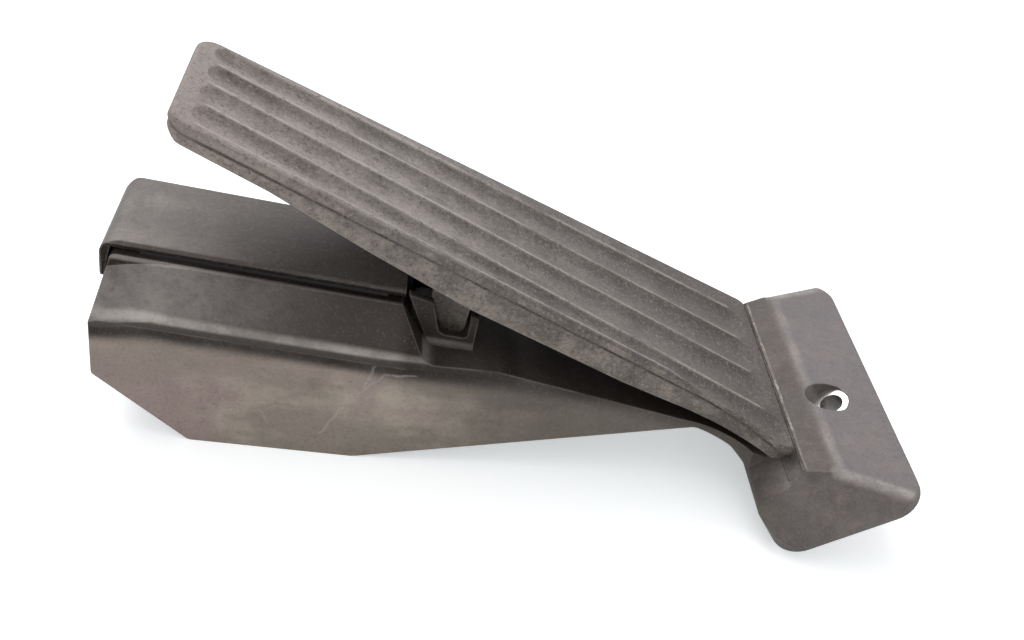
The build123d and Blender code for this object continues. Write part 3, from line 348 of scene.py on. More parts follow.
class Coat:
    """A moulded finish, built up in layers over the bare plastic."""

    def __init__(self, name):
        self.finish = bpy.context.scene.pedal_finish
        self.dirt = bpy.context.scene.pedal_dirt
        self.material, self.tree, self.shader = new_material(name)
        place = self.tree.nodes.new("ShaderNodeTexCoord")
        self.point = place.outputs["Object"]
        self.x, self.y, self.z = self.split(self.point)
        self.nx, self.ny, self.nz = self.split(place.outputs["Normal"])
        self.colour = tuple(self.finish.plastic_colour)
        self.dull = 0.0
        # amount of painted shade laid so far
        self.painted_shade = 0.0
        self.relief = 0.0

    def split(self, vector):
        """The three parts of a vector."""
        return add_node(self.tree, "ShaderNodeSeparateXYZ", Vector=vector).outputs

    def chain(self, operation, values):
        """Values joined one after another by a math operation."""
        total = values[0]
        for value in values[1:]:
            total = math_node(self.tree, operation, total, value)
        return total

    def total(self, *values):
        """Sum of the values."""
        return self.chain("ADD", values)

    def product(self, *values):
        """Product of the values."""
        return self.chain("MULTIPLY", values)

    def largest(self, *values):
        """Largest of the values."""
        return self.chain("MAXIMUM", values)

    def size_of(self, value):
        """The value without its sign."""
        return math_node(self.tree, "ABSOLUTE", value)

    def slope(self, per_x, per_z, offset):
        """A measure along or across a sloped part."""
        return self.total(self.product(self.x, per_x), self.product(self.z, per_z), offset)

    def ramp(self, value, low, high, to_low=0.0, to_high=1.0):
        """Value mapped smoothly from one range to another, clamped."""
        return ramp(self.tree, value, low, high, to_low, to_high)

    def band(self, value, middle, half, soft):
        """1 within a distance of the middle, falling to 0 just outside it."""
        return self.ramp(self.size_of(self.total(value, -middle)), half + soft, half)

    def noise(self, scale, detail=3.0, roughness=0.55, stretch=None, turn=(0.0, 0.0, 0.0)):
        """Noise over the part, stretched and turned if asked."""
        point = stretched(self.tree, self.point, stretch, turn) if stretch else self.point
        return noise(self.tree, point, scale, detail, roughness)

    def lay(self, factor, colour, dulls=True):
        """Adds a layer of a colour, which also dulls the gloss."""
        self.colour = mix_colour(self.tree, factor, self.colour, tuple(colour))
        if dulls:
            self.dull = self.largest(self.dull, factor)

    def paint_shade(self, factor):
        """Painted shade: darkens a gap, an inner corner or a face under another part, and takes its sheen
        away.
        """
        self.lay(factor, self.finish.painted_shade_colour, dulls=False)
        self.painted_shade = self.largest(self.painted_shade, factor)

    def specks(self, light, dark):
        """Fine light and dark specks of dust and pits, with a few pale crumbs."""
        dust = self.noise(1700.0, 2.0, 0.75)
        grit = self.noise(760.0, 2.0, 0.7)
        fine = self.total(self.product(dust, 0.6), self.product(grit, 0.4))
        self.lay(self.ramp(fine, 0.51, 0.68, 0.0, light), self.finish.wear_and_highlight_colour)
        self.lay(self.ramp(fine, 0.49, 0.34, 0.0, dark), self.finish.plastic_colour, dulls=False)
        crumbs = self.noise(430.0, 3.0, 0.8)
        self.lay(self.ramp(crumbs, 0.79, 0.84, 0.0, light * 2.0), self.finish.wear_and_highlight_colour)

    def line(self, start, end, half, soft):
        """1 along a straight line between two points, falling to 0 beside it."""
        start = Vector(start)
        reach = Vector(end) - start
        offset = self.vector("SUBTRACT", self.point, start)
        share = self.product(self.vector("DOT_PRODUCT", offset, reach), 1.0 / reach.length_squared)
        held = self.largest(math_node(self.tree, "MINIMUM", share, 1.0), 0.0)
        nearest = self.vector("MULTIPLY", held, reach)
        distance = self.vector("LENGTH", self.vector("SUBTRACT", offset, nearest))
        return self.ramp(distance, half + soft, half)

    def vector(self, operation, *values):
        """Result of a vector math node."""
        node = self.tree.nodes.new("ShaderNodeVectorMath")
        node.operation = operation
        for socket, value in zip(node.inputs, values):
            plug(self.tree, socket, value)
        return node.outputs["Value" if operation in {"DOT_PRODUCT", "LENGTH"} else "Vector"]

    def wear(self, amount):
        """Rubbed edges, from rounded against true normals."""
        rounded = add_node(self.tree, "ShaderNodeBevel", Radius=self.finish.edge_radius)
        rounded.samples = 4
        geometry = self.tree.nodes.new("ShaderNodeNewGeometry")
        facing = self.vector("DOT_PRODUCT", rounded.outputs[0], geometry.outputs["Normal"])
        edges = self.ramp(facing, 0.995, 0.90)
        uneven = self.ramp(self.noise(90.0, 4.0), 0.35, 0.62, 0.25, 1.0)
        self.lay(self.product(edges, uneven, amount), self.finish.wear_and_highlight_colour, dulls=False)
        return rounded.outputs[0]

    def done(self, wear, specks, gloss=0.44, matt=0.74):
        """Finishes the layers with specks, rubbed edges, gloss and grain."""
        self.specks(*specks)
        rounded = self.wear(wear)
        inputs = self.shader.inputs
        self.tree.links.new(self.colour, inputs["Base Color"])
        self.tree.links.new(self.ramp(self.dull, 0.0, 0.8, gloss, matt), inputs["Roughness"])
        # painted shade also takes the sheen away
        self.tree.links.new(self.ramp(self.painted_shade, 0.0, 1.0, 0.25, 0.02), inputs["Specular IOR Level"])
        rolled = add_node(
            self.tree, "ShaderNodeBump", Height=self.relief, Normal=rounded, Strength=1.0, Distance=1.0,
        )
        grain = self.noise(1.0 / self.finish.grain_size, 2.0, 0.5)
        bump = add_node(
            self.tree, "ShaderNodeBump", Height=grain, Normal=rolled.outputs[0],
            Strength=0.25, Distance=0.0002,
        )
        self.tree.links.new(bump.outputs[0], inputs["Normal"])
        return self.material


def scratch_mask(coat, start_x, start_z, end_x, end_z):
    """One wavering light line on the near wall."""
    length = math.hypot(end_x - start_x, end_z - start_z)
    turn = -math.atan2(end_z - start_z, end_x - start_x)
    node = add_node(
        coat.tree, "ShaderNodeMapping", Vector=coat.point,
        Location=(start_x, 0.0, start_z), Rotation=(0.0, turn, 0.0),
    )
    node.vector_type = "TEXTURE"
    along, _, across = coat.split(node.outputs[0])
    waver = coat.product(coat.total(coat.noise(260.0, 2.0), -0.5), 0.0022)
    line = coat.band(coat.total(across, waver), 0.0, 0.0, coat.dirt.scratch_width * 2.0)
    return coat.product(line, coat.band(along, length / 2, length / 2, 0.0010))


def foot_point(up, height, y):
    """A point of the foot plate's own frame as a point of the module."""
    turn_cos = math.cos(FOOT_RISE)
    turn_sin = math.sin(FOOT_RISE)
    return FOOT_X + up * turn_cos - height * turn_sin, y, up * turn_sin + height * turn_cos


def crest_offset(coat, along, crest):
    """Distance from a crest towards the near edge of the tread."""
    lines = []
    for (start_along, start_across), (end_along, end_across) in zip(crest, crest[1:]):
        slope = (end_across - start_across) / (end_along - start_along)
        lines.append(coat.total(coat.product(along, slope), start_across - start_along * slope))
    return coat.product(coat.total(coat.y, coat.largest(*lines)), -1.0)


def distance_up_foot(coat):
    """Distance up the foot plate."""
    return coat.slope(math.cos(FOOT_RISE), math.sin(FOOT_RISE), -FOOT_X * math.cos(FOOT_RISE))


def height_over_fall(coat):
    """Height with the fall of the roof taken out."""
    return coat.slope(ROOF_FALL, 1.0, 0.0)


def seam_mask(coat, middle):
    """Broken line of dirt beside the hinge, at a distance up the foot plate."""
    waver = coat.product(coat.total(coat.noise(320.0, 3.0), -0.5), 0.0010)
    line = coat.band(coat.total(distance_up_foot(coat), waver), middle, coat.dirt.seam_width, 0.00025)
    broken = coat.ramp(coat.noise(170.0, 5.0, 0.75), 0.45, 0.66, 0.15, 0.80)
    top = coat.ramp(coat.z, 0.0225, 0.0240)
    ends = coat.ramp(coat.size_of(coat.y), 0.0385, 0.0365)
    return coat.product(line, broken, top, ends, coat.ramp(coat.x, 0.078, 0.080))


class HousingCoat(Coat):
    """Finish of the moulded housing: dark roof, film on the walls, dusty foot plate."""

    def __init__(self, name):
        super().__init__(name)
        self.cloud = self.noise(24.0, 5.0, 0.62)
        self.mottle = self.noise(85.0, 5.0, 0.65)
        self.bits = self.noise(260.0, 4.0, 0.7)
        self.spread = self.total(self.mottle, self.cloud, self.product(self.bits, 0.6))
        self.on_foot = self.ramp(self.x, 0.064, 0.080)
        self.off_foot = self.ramp(self.x, 0.080, 0.064)
        self.from_middle = self.size_of(self.y)
        self.up_foot = distance_up_foot(self)
        self.roof_line = height_over_fall(self)
        # the shoulder sinks at the open end
        self.shoulder = self.total(self.roof_line, self.ramp(self.x, -0.098, -0.116, 0.0, 0.0026))
        self.to_window = self.ramp(self.x, 0.0, -0.030, 0.2, 1.0)

    def patchy(self, low, high, to_low, to_high):
        """Strength of a layer that comes and goes with the mottle."""
        return self.ramp(self.mottle, low, high, to_low, to_high)

    def dust_foot(self):
        """Dust and brown bits on the foot plate, with a grey bloom on its upper face."""
        upward = self.ramp(self.nz, 0.30, 0.98, 0.40, 0.71)
        smooth = self.ramp(self.spread, 1.02, 1.60, 0.62, 1.0)
        self.lay(self.product(self.on_foot, upward, smooth), self.finish.dust_colour)
        brown = self.ramp(self.total(self.bits, self.noise(46.0, 4.0, 0.65)), 0.92, 1.22, 0.0, 0.30)
        level = self.ramp(self.nz, 0.2, 0.8, 0.4, 1.0)
        self.lay(self.product(self.on_foot, brown, level), self.dirt.stain_colour)
        beyond = self.ramp(self.up_foot, 0.0244, 0.0270)
        plane = self.product(beyond, self.ramp(self.nz, 0.55, 0.75), self.on_foot)
        self.lay(self.product(plane, self.patchy(0.30, 0.65, 0.75, 0.45)), self.dirt.bloom_colour)

    def paint_foot_shade_and_highlights(self):
        """Painted shade in the trough beside the seam and on the heel, and painted highlights along the ridge
        and the hips.
        """
        within = self.product(self.ramp(self.from_middle, 0.0430, 0.0380), self.on_foot)
        # painted shade in the trough beside the seam
        trough = self.product(self.band(self.up_foot, TROUGH_UP, 0.0022, 0.0030), within)
        trough_shade = self.product(trough, self.patchy(0.35, 0.65, 0.36, 0.60))
        self.lay(trough_shade, self.finish.plastic_colour, dulls=False)
        # painted highlights along the ridge and the hips
        ridge = self.product(self.band(self.up_foot, RIDGE_UP, 0.0003, 0.0016), within, 0.55)
        hips = [self.line(foot_point(*low), foot_point(*high), 0.0006, 0.0022) for low, high in HIPS]
        edges = self.largest(ridge, *hips)
        self.lay(self.product(edges, self.patchy(0.38, 0.62, 0.24, 0.58)), self.finish.wear_and_highlight_colour)
        # painted shade on the heel of the foot plate, near the hinge
        heel = self.product(self.ramp(self.up_foot, 0.0120, 0.0060), self.ramp(self.x, 0.060, 0.072), 0.16)
        self.paint_shade(self.product(heel, self.patchy(0.30, 0.65, 0.7, 1.0)))

    def dust_and_shade_roof(self):
        """Dust on the roof, thickest towards the open end; its thinning towards the tread is also painted
        shade from the tread.
        """
        # dust, and painted shade: less dust under the tread darkens the roof where the tread shades it
        to_end = self.ramp(self.x, -0.046, -0.102, 0.0, 0.96)
        roof = self.ramp(self.nz, 0.20, 0.85)
        uneven = self.ramp(self.spread, 1.02, 1.60, 0.38, 1.0)
        self.lay(self.product(self.off_foot, roof, to_end, uneven), self.finish.dust_colour)

    def bead_relief_and_highlight(self):
        """Fuller bead along the shoulder, with a painted highlight that fades at the open end."""
        roll = self.band(self.shoulder, BEAD_ROLL_LINE, 0.0, 0.0028)
        self.relief = self.product(roll, self.off_foot, 0.0012)
        # painted highlight along the top of the bead
        fading = self.ramp(self.x, -0.116, -0.102, 0.35, 1.0)
        line = self.band(self.shoulder, BEAD_HIGHLIGHT_LINE, 0.0003, 0.0013)
        bead = self.product(line, self.off_foot, self.to_window, fading)
        self.lay(self.product(bead, self.patchy(0.32, 0.62, 0.50, 0.90)), self.finish.wear_and_highlight_colour)

    def shade_and_highlight_rim(self):
        """Painted shade on the rim's wall and top under the cover and about the window, and a painted
        highlight along the rim's edge.
        """
        # painted shade on the rim's wall, in the shade of the cover
        upright = self.ramp(self.size_of(self.ny), 0.85, 0.95)
        wall = self.product(self.band(self.from_middle, RIM_HALF_WIDTH, 0.0004, 0.0003), upright)
        self.paint_shade(self.product(wall, self.ramp(self.x, -0.084, -0.090), 0.70))
        # painted shadow on the rim's top under the cover
        inside = self.ramp(self.from_middle, RIM_HALF_WIDTH - 0.0004, RIM_HALF_WIDTH - 0.0008)
        self.paint_shade(self.product(inside, self.ramp(self.roof_line, 0.0400, 0.0430), 0.85))
        # painted highlight along the rim's outer edge
        edge = self.band(self.from_middle, RIM_HALF_WIDTH + 0.0001, 0.0003, 0.0003)
        rim = self.product(edge, self.ramp(self.roof_line, 0.0450, 0.0462))
        self.lay(self.product(rim, self.ramp(self.x, -0.070, -0.095, 0.10, 0.50)), self.finish.wear_and_highlight_colour)
        # painted shade about the window, under the tread
        window = self.band(self.x, WINDOW_X, WINDOW_HALF_LENGTH, 0.006)
        self.paint_shade(self.product(window, self.ramp(self.z, 0.030, 0.034), 0.55))

    def film_and_shade_walls(self):
        """Film under the bead: olive, brown in patches and at the open end, with dark clots; it starts low
        under the bead and thins towards the neck, as painted shade.
        """
        smear = self.noise(14.0, 4.0, 0.6, (1.0, 5.0, 5.0), (0.0, 0.5, 0.0))
        sides = self.ramp(self.size_of(self.ny), 0.55, 0.90)
        open_end = self.ramp(self.nx, -0.60, -0.90, 0.0, 0.45)
        # painted shade: the film starts some way below the bead, leaving a dark zone under it
        film_gap_below_bead = self.ramp(self.shoulder, BEAD_SHADE_LINE, 0.0262)
        # painted shade: the film thins towards the neck, which lies in the shade of the tread
        film_fade_to_neck_shade = self.ramp(self.x, 0.014, -0.048, 0.28, 1.06)
        blots = self.total(
            self.product(self.cloud, 0.7), self.product(smear, 0.6), self.product(self.mottle, 0.4),
        )
        patches = self.ramp(blots, 0.72, 0.98, 0.52, 1.0)
        film = self.product(self.largest(sides, open_end), film_gap_below_bead, film_fade_to_neck_shade, self.off_foot, patches)
        self.lay(film, self.dirt.film_colour)
        tint = self.total(self.product(self.x, -5.0), self.product(self.noise(38.0, 5.0, 0.65), 2.2))
        self.lay(self.product(film, self.ramp(tint, 1.15, 1.65, 0.0, 0.9)), self.dirt.stain_colour)
        clots = self.ramp(
            self.noise(30.0, 4.0, 0.6, (1.0, 1.0, 1.6), (0.0, 0.6, 0.0)), 0.50, 0.68, 0.0, 0.45,
        )
        off_end = self.ramp(self.x, -0.085, -0.050, 0.25, 1.0)
        self.lay(self.product(film, clots, off_end), self.finish.plastic_colour)

    def shade_walls(self):
        """Painted shade: a dark band under the bead, and shade along the top of the neck, under the tread."""
        band = self.band(self.shoulder, BEAD_SHADE_LINE, 0.0006, 0.0030)
        below = self.product(band, self.off_foot, self.to_window)
        self.paint_shade(self.product(below, self.patchy(0.30, 0.65, 0.25, 0.60)))
        below_crest = self.slope(-NECK_FALL, -1.0, NECK_CREST_Z)
        beyond_window = self.ramp(self.x, -0.012, 0.012)
        neck = self.product(self.ramp(below_crest, 0.0075, 0.0), beyond_window, self.off_foot)
        self.paint_shade(self.product(neck, self.patchy(0.30, 0.65, 0.32, 0.55)))

    def scratch_wall(self):
        """Light, broken scratches on the near wall."""
        near = self.ramp(self.ny, -0.80, -0.95)
        lines = self.largest(*[scratch_mask(self, *scratch) for scratch in SCRATCHES])
        broken = self.patchy(0.35, 0.60, 0.25, 0.80)
        self.lay(self.product(lines, near, broken), self.dirt.scratch_colour)


def housing_plastic():
    """Moulded housing, with the layers of its coat in order and dry dirt along the seam."""
    coat = HousingCoat("housing_plastic")
    coat.dust_foot()
    coat.paint_foot_shade_and_highlights()
    coat.dust_and_shade_roof()
    coat.bead_relief_and_highlight()
    coat.shade_and_highlight_rim()
    coat.film_and_shade_walls()
    coat.shade_walls()
    coat.scratch_wall()
    coat.lay(seam_mask(coat, SEAM_UP), coat.dirt.seam_colour)
    return coat.done(coat.product(coat.off_foot, 0.30), (0.10, 0.26))


def cover_plastic():
    """Top cover: dust towards the open end, fine scuffs, rubbed edges and painted shade on the undercut."""
    coat = Coat("cover_plastic")
    cloud = coat.noise(30.0, 5.0, 0.6)
    mottle = coat.noise(110.0, 5.0, 0.62)
    to_end = coat.ramp(coat.x, -0.060, -0.108, 0.16, 1.0)
    upward = coat.product(coat.ramp(coat.nz, 0.55, 0.99, 0.12, 0.86), to_end)
    uneven = coat.ramp(coat.total(mottle, cloud), 0.75, 1.20, 0.60, 1.0)
    coat.lay(coat.product(upward, uneven), coat.finish.dust_colour)
    scuffs = coat.noise(60.0, 4.0, 0.7, (1.0, 14.0, 1.0), (0.0, 0.0, 0.5))
    coat.lay(coat.product(coat.ramp(scuffs, 0.60, 0.72, 0.0, 0.20), upward), coat.finish.wear_and_highlight_colour)
    # painted shade on the cover's undercut side
    cover_edge_shade = coat.ramp(height_over_fall(coat), COVER_EDGE_LINE, 0.0488)
    coat.paint_shade(coat.product(cover_edge_shade, coat.ramp(coat.size_of(coat.ny), 0.5, 0.8), 0.85))
    return coat.done(0.40, (0.16, 0.28))


def tread_plastic():
    """Tread: dust thinning towards the hinge, also painted light; painted shade beside the crests; worn
    crests with a painted highlight; a painted shadow under the lip.
    """
    coat = Coat("tread_plastic")
    cloud = coat.noise(22.0, 5.0, 0.6)
    mottle = coat.noise(95.0, 5.0, 0.65)
    rub = coat.noise(60.0, 4.0, 0.6, (1.0, 5.0, 1.0))
    run = math.cos(TREAD_RISE)
    rise = math.sin(TREAD_RISE)
    along = coat.slope(-run, rise, HINGE_X * run - HINGE_Z * rise)
    depth = coat.slope(-rise, -run, HINGE_X * rise + HINGE_Z * run)
    upward = coat.ramp(coat.nz, 0.20, 0.93, 0.40, 0.86)
    uneven = coat.ramp(coat.total(mottle, coat.product(cloud, 0.9)), 0.66, 1.15, 0.50, 1.0)
    # dust, and painted light: the tread brightens towards the toe, where more light falls
    toe_dust_and_light = coat.ramp(along, 0.0, TREAD_LENGTH, 0.34, 1.36)
    coat.lay(coat.product(upward, uneven, toe_dust_and_light), coat.finish.dust_colour)
    warm = coat.product(coat.ramp(along, 0.135, 0.185, 0.0, 0.40), coat.ramp(cloud, 0.35, 0.65, 0.3, 1.0))
    coat.lay(warm, coat.dirt.stain_colour)
    # brown film on the skirt
    skirt = coat.ramp(coat.nz, 0.55, 0.25)
    coat.lay(coat.product(skirt, coat.ramp(mottle, 0.40, 0.65, 0.10, 0.40)), coat.dirt.film_colour)
    # painted shade below each crest on its near side, and the crest itself, worn and with a painted highlight
    offsets = [crest_offset(coat, along, crest) for crest in CRESTS]
    on_top = coat.product(coat.ramp(coat.nz, 0.60, 0.80), coat.band(along, 0.098, 0.086, 0.003))
    shades = [
        coat.product(coat.ramp(offset, 0.0003, 0.0012), coat.ramp(offset, 0.0068, 0.0016))
        for offset in offsets[:-1]
    ]
    shade = coat.product(coat.largest(*shades), on_top, coat.ramp(rub, 0.30, 0.65, 0.22, 0.52))
    coat.lay(shade, coat.finish.plastic_colour, dulls=False)
    lines = [coat.band(offset, 0.0, 0.0001, 0.0006) for offset in offsets]
    crests = coat.product(coat.largest(*lines), on_top)
    # wear and painted highlight along each crest
    coat.lay(coat.product(crests, coat.ramp(rub, 0.30, 0.60, 0.15, 0.58)), coat.finish.wear_and_highlight_colour)
    # painted shadow under the lip, on the side faces only
    side = coat.ramp(coat.size_of(coat.nz), 0.55, 0.25)
    lip_shadow = coat.product(coat.band(depth, LIP_DEPTH, 0.0003, 0.0007), side)
    coat.paint_shade(coat.product(lip_shadow, coat.ramp(mottle, 0.35, 0.60, 0.20, 0.75)))
    return coat.done(0.50, (0.30, 0.58), 0.50, 0.80)


def small_moulding(name, dust):
    """Hinge strip and base cover: plain plastic under a little dust."""
    coat = Coat(name)
    mottle = coat.noise(90.0, 5.0, 0.62)
    upward = coat.ramp(coat.nz, 0.10, 0.95, dust * 0.5, dust)
    coat.lay(coat.product(upward, coat.ramp(mottle, 0.35, 0.65, 0.4, 1.0)), coat.finish.dust_colour)
    coat.lay(seam_mask(coat, STRIP_SEAM_UP), coat.dirt.seam_colour)
    return coat.done(0.40, (0.15, 0.25))


def plain_moulding(name, colour, roughness, spread):
    """Clean moulded part with a fine grain and slight colour drift."""
    material, tree, shader = new_material(name)
    point = tree.nodes.new("ShaderNodeTexCoord").outputs["Object"]
    drift = noise(tree, point, 60.0, 3.0)
    darker = tuple(channel * (1.0 - spread) for channel in colour)
    lighter = tuple(min(1.0, channel * (1.0 + spread)) for channel in colour)
    tree.links.new(mix_colour(tree, drift, darker, lighter), shader.inputs["Base Color"])
    shader.inputs["Roughness"].default_value = roughness
    grain = noise(tree, point, 900.0, 2.0)
    bump = add_node(tree, "ShaderNodeBump", Height=grain, Strength=0.15, Distance=0.0001)
    tree.links.new(bump.outputs[0], shader.inputs["Normal"])
    return material


def worked_metal(name, colour, roughness, depth):
    """Bare metal with fine tool marks, drawn out along z, of a given strength."""
    material, tree, shader = new_material(name)
    point = tree.nodes.new("ShaderNodeTexCoord").outputs["Object"]
    marks = noise(tree, stretched(tree, point, (1.0, 1.0, 12.0)), 420.0, 3.0)
    tarnish = noise(tree, point, 120.0, 4.0)
    dull = tuple(channel * 0.80 for channel in colour)
    tarnished = mix_colour(tree, ramp(tree, tarnish, 0.45, 0.7), colour, dull)
    tree.links.new(tarnished, shader.inputs["Base Color"])
    uneven = ramp(tree, marks, 0.3, 0.7, roughness - 0.08, roughness + 0.12)
    tree.links.new(uneven, shader.inputs["Roughness"])
    shader.inputs["Metallic"].default_value = 1.0
    bump = add_node(tree, "ShaderNodeBump", Height=marks, Strength=depth, Distance=0.0001)
    tree.links.new(bump.outputs[0], shader.inputs["Normal"])
    return material


def bush_steel():
    """Bright turned steel, with painted shade inside its bore."""
    coat = Coat("bush_steel")
    coat.colour = BUSH_COLOUR
    low_end = foot_point(BUSH_UP, -0.02, BUSH_Y)
    high_end = foot_point(BUSH_UP, 0.04, BUSH_Y)
    # painted shade inside the bore
    coat.lay(coat.product(coat.line(low_end, high_end, BUSH_BORE_RADIUS, 0.0003), 0.85), BORE_SHADE_COLOUR)
    coat.lay(coat.ramp(coat.noise(260.0, 4.0), 0.55, 0.75, 0.0, 0.45), TARNISH_COLOUR)
    coat.tree.links.new(coat.colour, coat.shader.inputs["Base Color"])
    coat.tree.links.new(coat.ramp(coat.dull, 0.0, 1.0, 0.30, 0.55), coat.shader.inputs["Roughness"])
    coat.shader.inputs["Metallic"].default_value = 1.0
    return coat.material


def give(node_name, material):
    """Puts one material on a CAD node."""
    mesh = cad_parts[node_name].data
    mesh.materials.clear()
    mesh.materials.append(material)


class PEDAL_OT_housing(bpy.types.Operator):
    """Finish the lower housing, the covers and the hinge strip"""

    bl_idname = "pedal.housing"
    bl_label = "Finish the housing"

    def execute(self, context):
        give("lower_housing", housing_plastic())
        give("top_cover", cover_plastic())
        give("base_cover", small_moulding("base_plastic", 0.22))
        give("hinge_strip", small_moulding("hinge_plastic", 0.45))
        return {"FINISHED"}


class PEDAL_OT_tread(bpy.types.Operator):
    """Finish the tread"""

    bl_idname = "pedal.tread"
    bl_label = "Finish the tread"

    def execute(self, context):
        give("tread_plate", tread_plastic())
        return {"FINISHED"}


class PEDAL_OT_metals(bpy.types.Operator):
    """Finish the bush, the axle, the springs and the other metal parts"""

    bl_idname = "pedal.metals"
    bl_label = "Finish the metal parts"

    def execute(self, context):
        metals = {name: worked_metal(name, *look) for name, look in METALS.items()}
        metals["bush_steel"] = bush_steel()
        for node_name, finish in METAL_FINISHES.items():
            give(node_name, metals[finish])
        return {"FINISHED"}


def wind_coil(context, name, foot, height, outer_radius, wire, turns):
    """Round wire wound upwards about a vertical line, with closed ends."""
    radius = outer_radius - wire / 2
    steps = round(abs(turns) * COIL_STEPS)
    start = Matrix.Translation((foot[0] + radius, foot[1], foot[2] + wire / 2))
    upright = Matrix.Rotation(math.pi / 2, 4, "X")
    shape = bmesh.new()
    bmesh.ops.create_circle(shape, segments=COIL_SIDES, radius=wire / 2, matrix=start @ upright)
    bmesh.ops.spin(
        shape, geom=shape.verts[:] + shape.edges[:], cent=foot, axis=(0.0, 0.0, 1.0),
        dvec=(0.0, 0.0, (height - wire) / steps), angle=turns * 2 * math.pi, steps=steps,
    )
    bmesh.ops.holes_fill(shape, edges=shape.edges[:])
    bmesh.ops.recalc_face_normals(shape, faces=shape.faces[:])
    for face in shape.faces:
        face.smooth = len(face.verts) == 4
    mesh = bpy.data.meshes.new(name)
    shape.to_mesh(mesh)
    shape.free()
    coil = bpy.data.objects.new(name, mesh)
    context.collection.objects.link(coil)
    return coil


class PEDAL_OT_springs(bpy.types.Operator):
    """Wind the two return springs"""

    bl_idname = "pedal.springs"
    bl_label = "Wind the springs"

    def execute(self, context):
        steel = bpy.data.materials.get("spring_wire") or worked_metal("spring_wire", *METALS["spring_wire"])
        for node_name, (piece_name, wire, turns, hand) in COILS.items():
            low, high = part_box(node_name)
            middle = ((low[0] + high[0]) / 2, 0.0, low[2])
            height = high[2] - low[2]
            outer_radius = (high[1] - low[1]) / 2
            coil = wind_coil(context, piece_name, middle, height, outer_radius, wire, turns * hand)
            coil.data.materials.append(steel)
            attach(coil, "housing")
            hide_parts(node_name)
            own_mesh(coil)
        return {"FINISHED"}


class PEDAL_OT_inside(bpy.types.Operator):
    """Finish the lever, the stops, the sensor board and the other inside parts"""

    bl_idname = "pedal.inside"
    bl_label = "Finish the inside parts"

    def execute(self, context):
        mouldings = {name: plain_moulding(name, *look) for name, look in MOULDINGS.items()}
        for node_name, finish in INSIDE_FINISHES.items():
            give(node_name, mouldings[finish])
        return {"FINISHED"}


class PEDAL_OT_stage(bpy.types.Operator):
    """Lay the table top and set the lights and the camera"""

    bl_idname = "pedal.stage"
    bl_label = "Set the stage"

    def execute(self, context):
        stage = context.scene.pedal_stage
        mesh = bpy.data.meshes.new("table_top")
        shape = bmesh.new()
        bmesh.ops.create_grid(shape, x_segments=1, y_segments=1, size=stage.floor_size / 2)
        shape.to_mesh(mesh)
        shape.free()
        table = bpy.data.objects.new("table_top", mesh)
        context.collection.objects.link(table)
        mesh.materials.append(table_finish(stage))
        set_world(context.scene)
        for name, look in SOFTBOXES.items():
            add_softbox(context, name, *look)
        lens = bpy.data.cameras.new("photo_camera")
        lens.lens = stage.camera_lens
        lens.sensor_width = 36.0
        lens.clip_start = 0.01
        camera = bpy.data.objects.new("photo_camera", lens)
        camera.location = stage.camera_place
        camera.rotation_euler = stage.camera_turn
        context.collection.objects.link(camera)
        context.scene.camera = camera
        context.scene.view_settings.view_transform = "Standard"
        return {"FINISHED"}


def seen_directly(tree):
    """Factor that is 1 where the surface is seen by the camera, in a reflection or through glass."""
    path = tree.nodes.new("ShaderNodeLightPath")
    seen = math_node(tree, "ADD", path.outputs["Is Camera Ray"], path.outputs["Is Glossy Ray"])
    return math_node(tree, "MINIMUM", math_node(tree, "ADD", seen, path.outputs["Is Transmission Ray"]), 1.0)


def table_finish(stage):
    """Pale matt table top that keeps the shadow and goes to white away from it."""
    material, tree, shader = new_material("table_top")
    shader.inputs["Base Color"].default_value = (*stage.floor_colour, 1.0)
    shader.inputs["Roughness"].default_value = 0.85
    shader.inputs["Emission Color"].default_value = (*TABLE_GLOW, 1.0)
    lift = math_node(tree, "MULTIPLY", seen_directly(tree), TABLE_LIFT)
    tree.links.new(lift, shader.inputs["Emission Strength"])
    return material


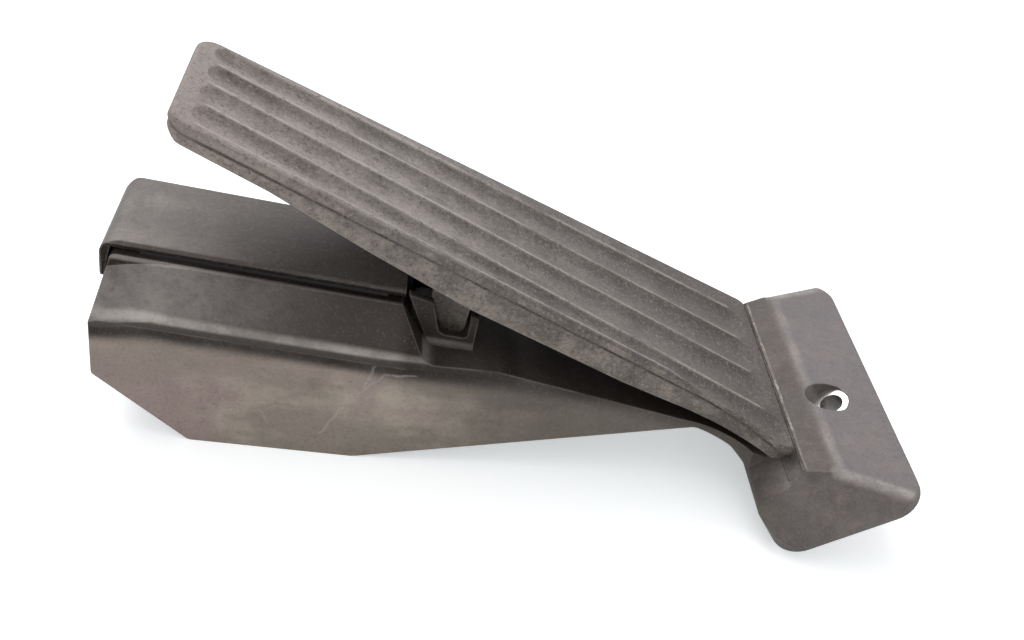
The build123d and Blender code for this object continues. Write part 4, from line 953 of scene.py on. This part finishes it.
def set_world(scene):
    """Even pale surroundings, white where they are seen."""
    world = bpy.data.worlds.new("pale_room")
    world.use_nodes = True
    tree = world.node_tree
    background = tree.nodes["Background"]
    background.inputs["Color"].default_value = (*WORLD_COLOUR, 1.0)
    lift = math_node(tree, "MULTIPLY", seen_directly(tree), WORLD_LIFT)
    strength = math_node(tree, "ADD", lift, WORLD_STRENGTH)
    tree.links.new(strength, background.inputs["Strength"])
    scene.world = world


def add_softbox(context, name, place, size, power):
    """Square soft light aimed at the module."""
    lamp = bpy.data.lights.new(name, "AREA")
    lamp.shape = "SQUARE"
    lamp.size = size
    lamp.energy = power
    light = bpy.data.objects.new(name, lamp)
    light.location = place
    aim = Vector(LIGHT_AIM) - Vector(place)
    light.rotation_euler = aim.to_track_quat("-Z", "Y").to_euler()
    context.collection.objects.link(light)


class PEDAL_PT_dressing(bpy.types.Panel):
    """Dressing of the pedal module"""

    bl_idname = "PEDAL_PT_dressing"
    bl_label = "Pedal dressing"
    bl_space_type = "VIEW_3D"
    bl_region_type = "UI"
    bl_category = "Pedal"

    def draw(self, context):
        for operator in OPERATORS:
            self.layout.operator(operator.bl_idname)
        for group in (context.scene.pedal_finish, context.scene.pedal_dirt, context.scene.pedal_stage):
            for name in group.bl_rna.properties.keys():
                if name not in {"rna_type", "name"}:
                    self.layout.prop(group, name)


OPERATORS = (
    PEDAL_OT_housing, PEDAL_OT_tread, PEDAL_OT_metals, PEDAL_OT_springs, PEDAL_OT_inside, PEDAL_OT_stage,
)
GROUPS = (PedalFinish, PedalDirt, PedalStage)


def register():
    for cls in GROUPS + OPERATORS + (PEDAL_PT_dressing,):
        bpy.utils.register_class(cls)
    bpy.types.Scene.pedal_finish = PointerProperty(type=PedalFinish)
    bpy.types.Scene.pedal_dirt = PointerProperty(type=PedalDirt)
    bpy.types.Scene.pedal_stage = PointerProperty(type=PedalStage)


def unregister():
    del bpy.types.Scene.pedal_stage
    del bpy.types.Scene.pedal_dirt
    del bpy.types.Scene.pedal_finish
    for cls in reversed(GROUPS + OPERATORS + (PEDAL_PT_dressing,)):
        bpy.utils.unregister_class(cls)


def main():
    register()
    bpy.ops.pedal.housing()
    bpy.ops.pedal.tread()
    bpy.ops.pedal.metals()
    bpy.ops.pedal.springs()
    bpy.ops.pedal.inside()
    bpy.ops.pedal.stage()


if __name__ == "__main__":
    main()
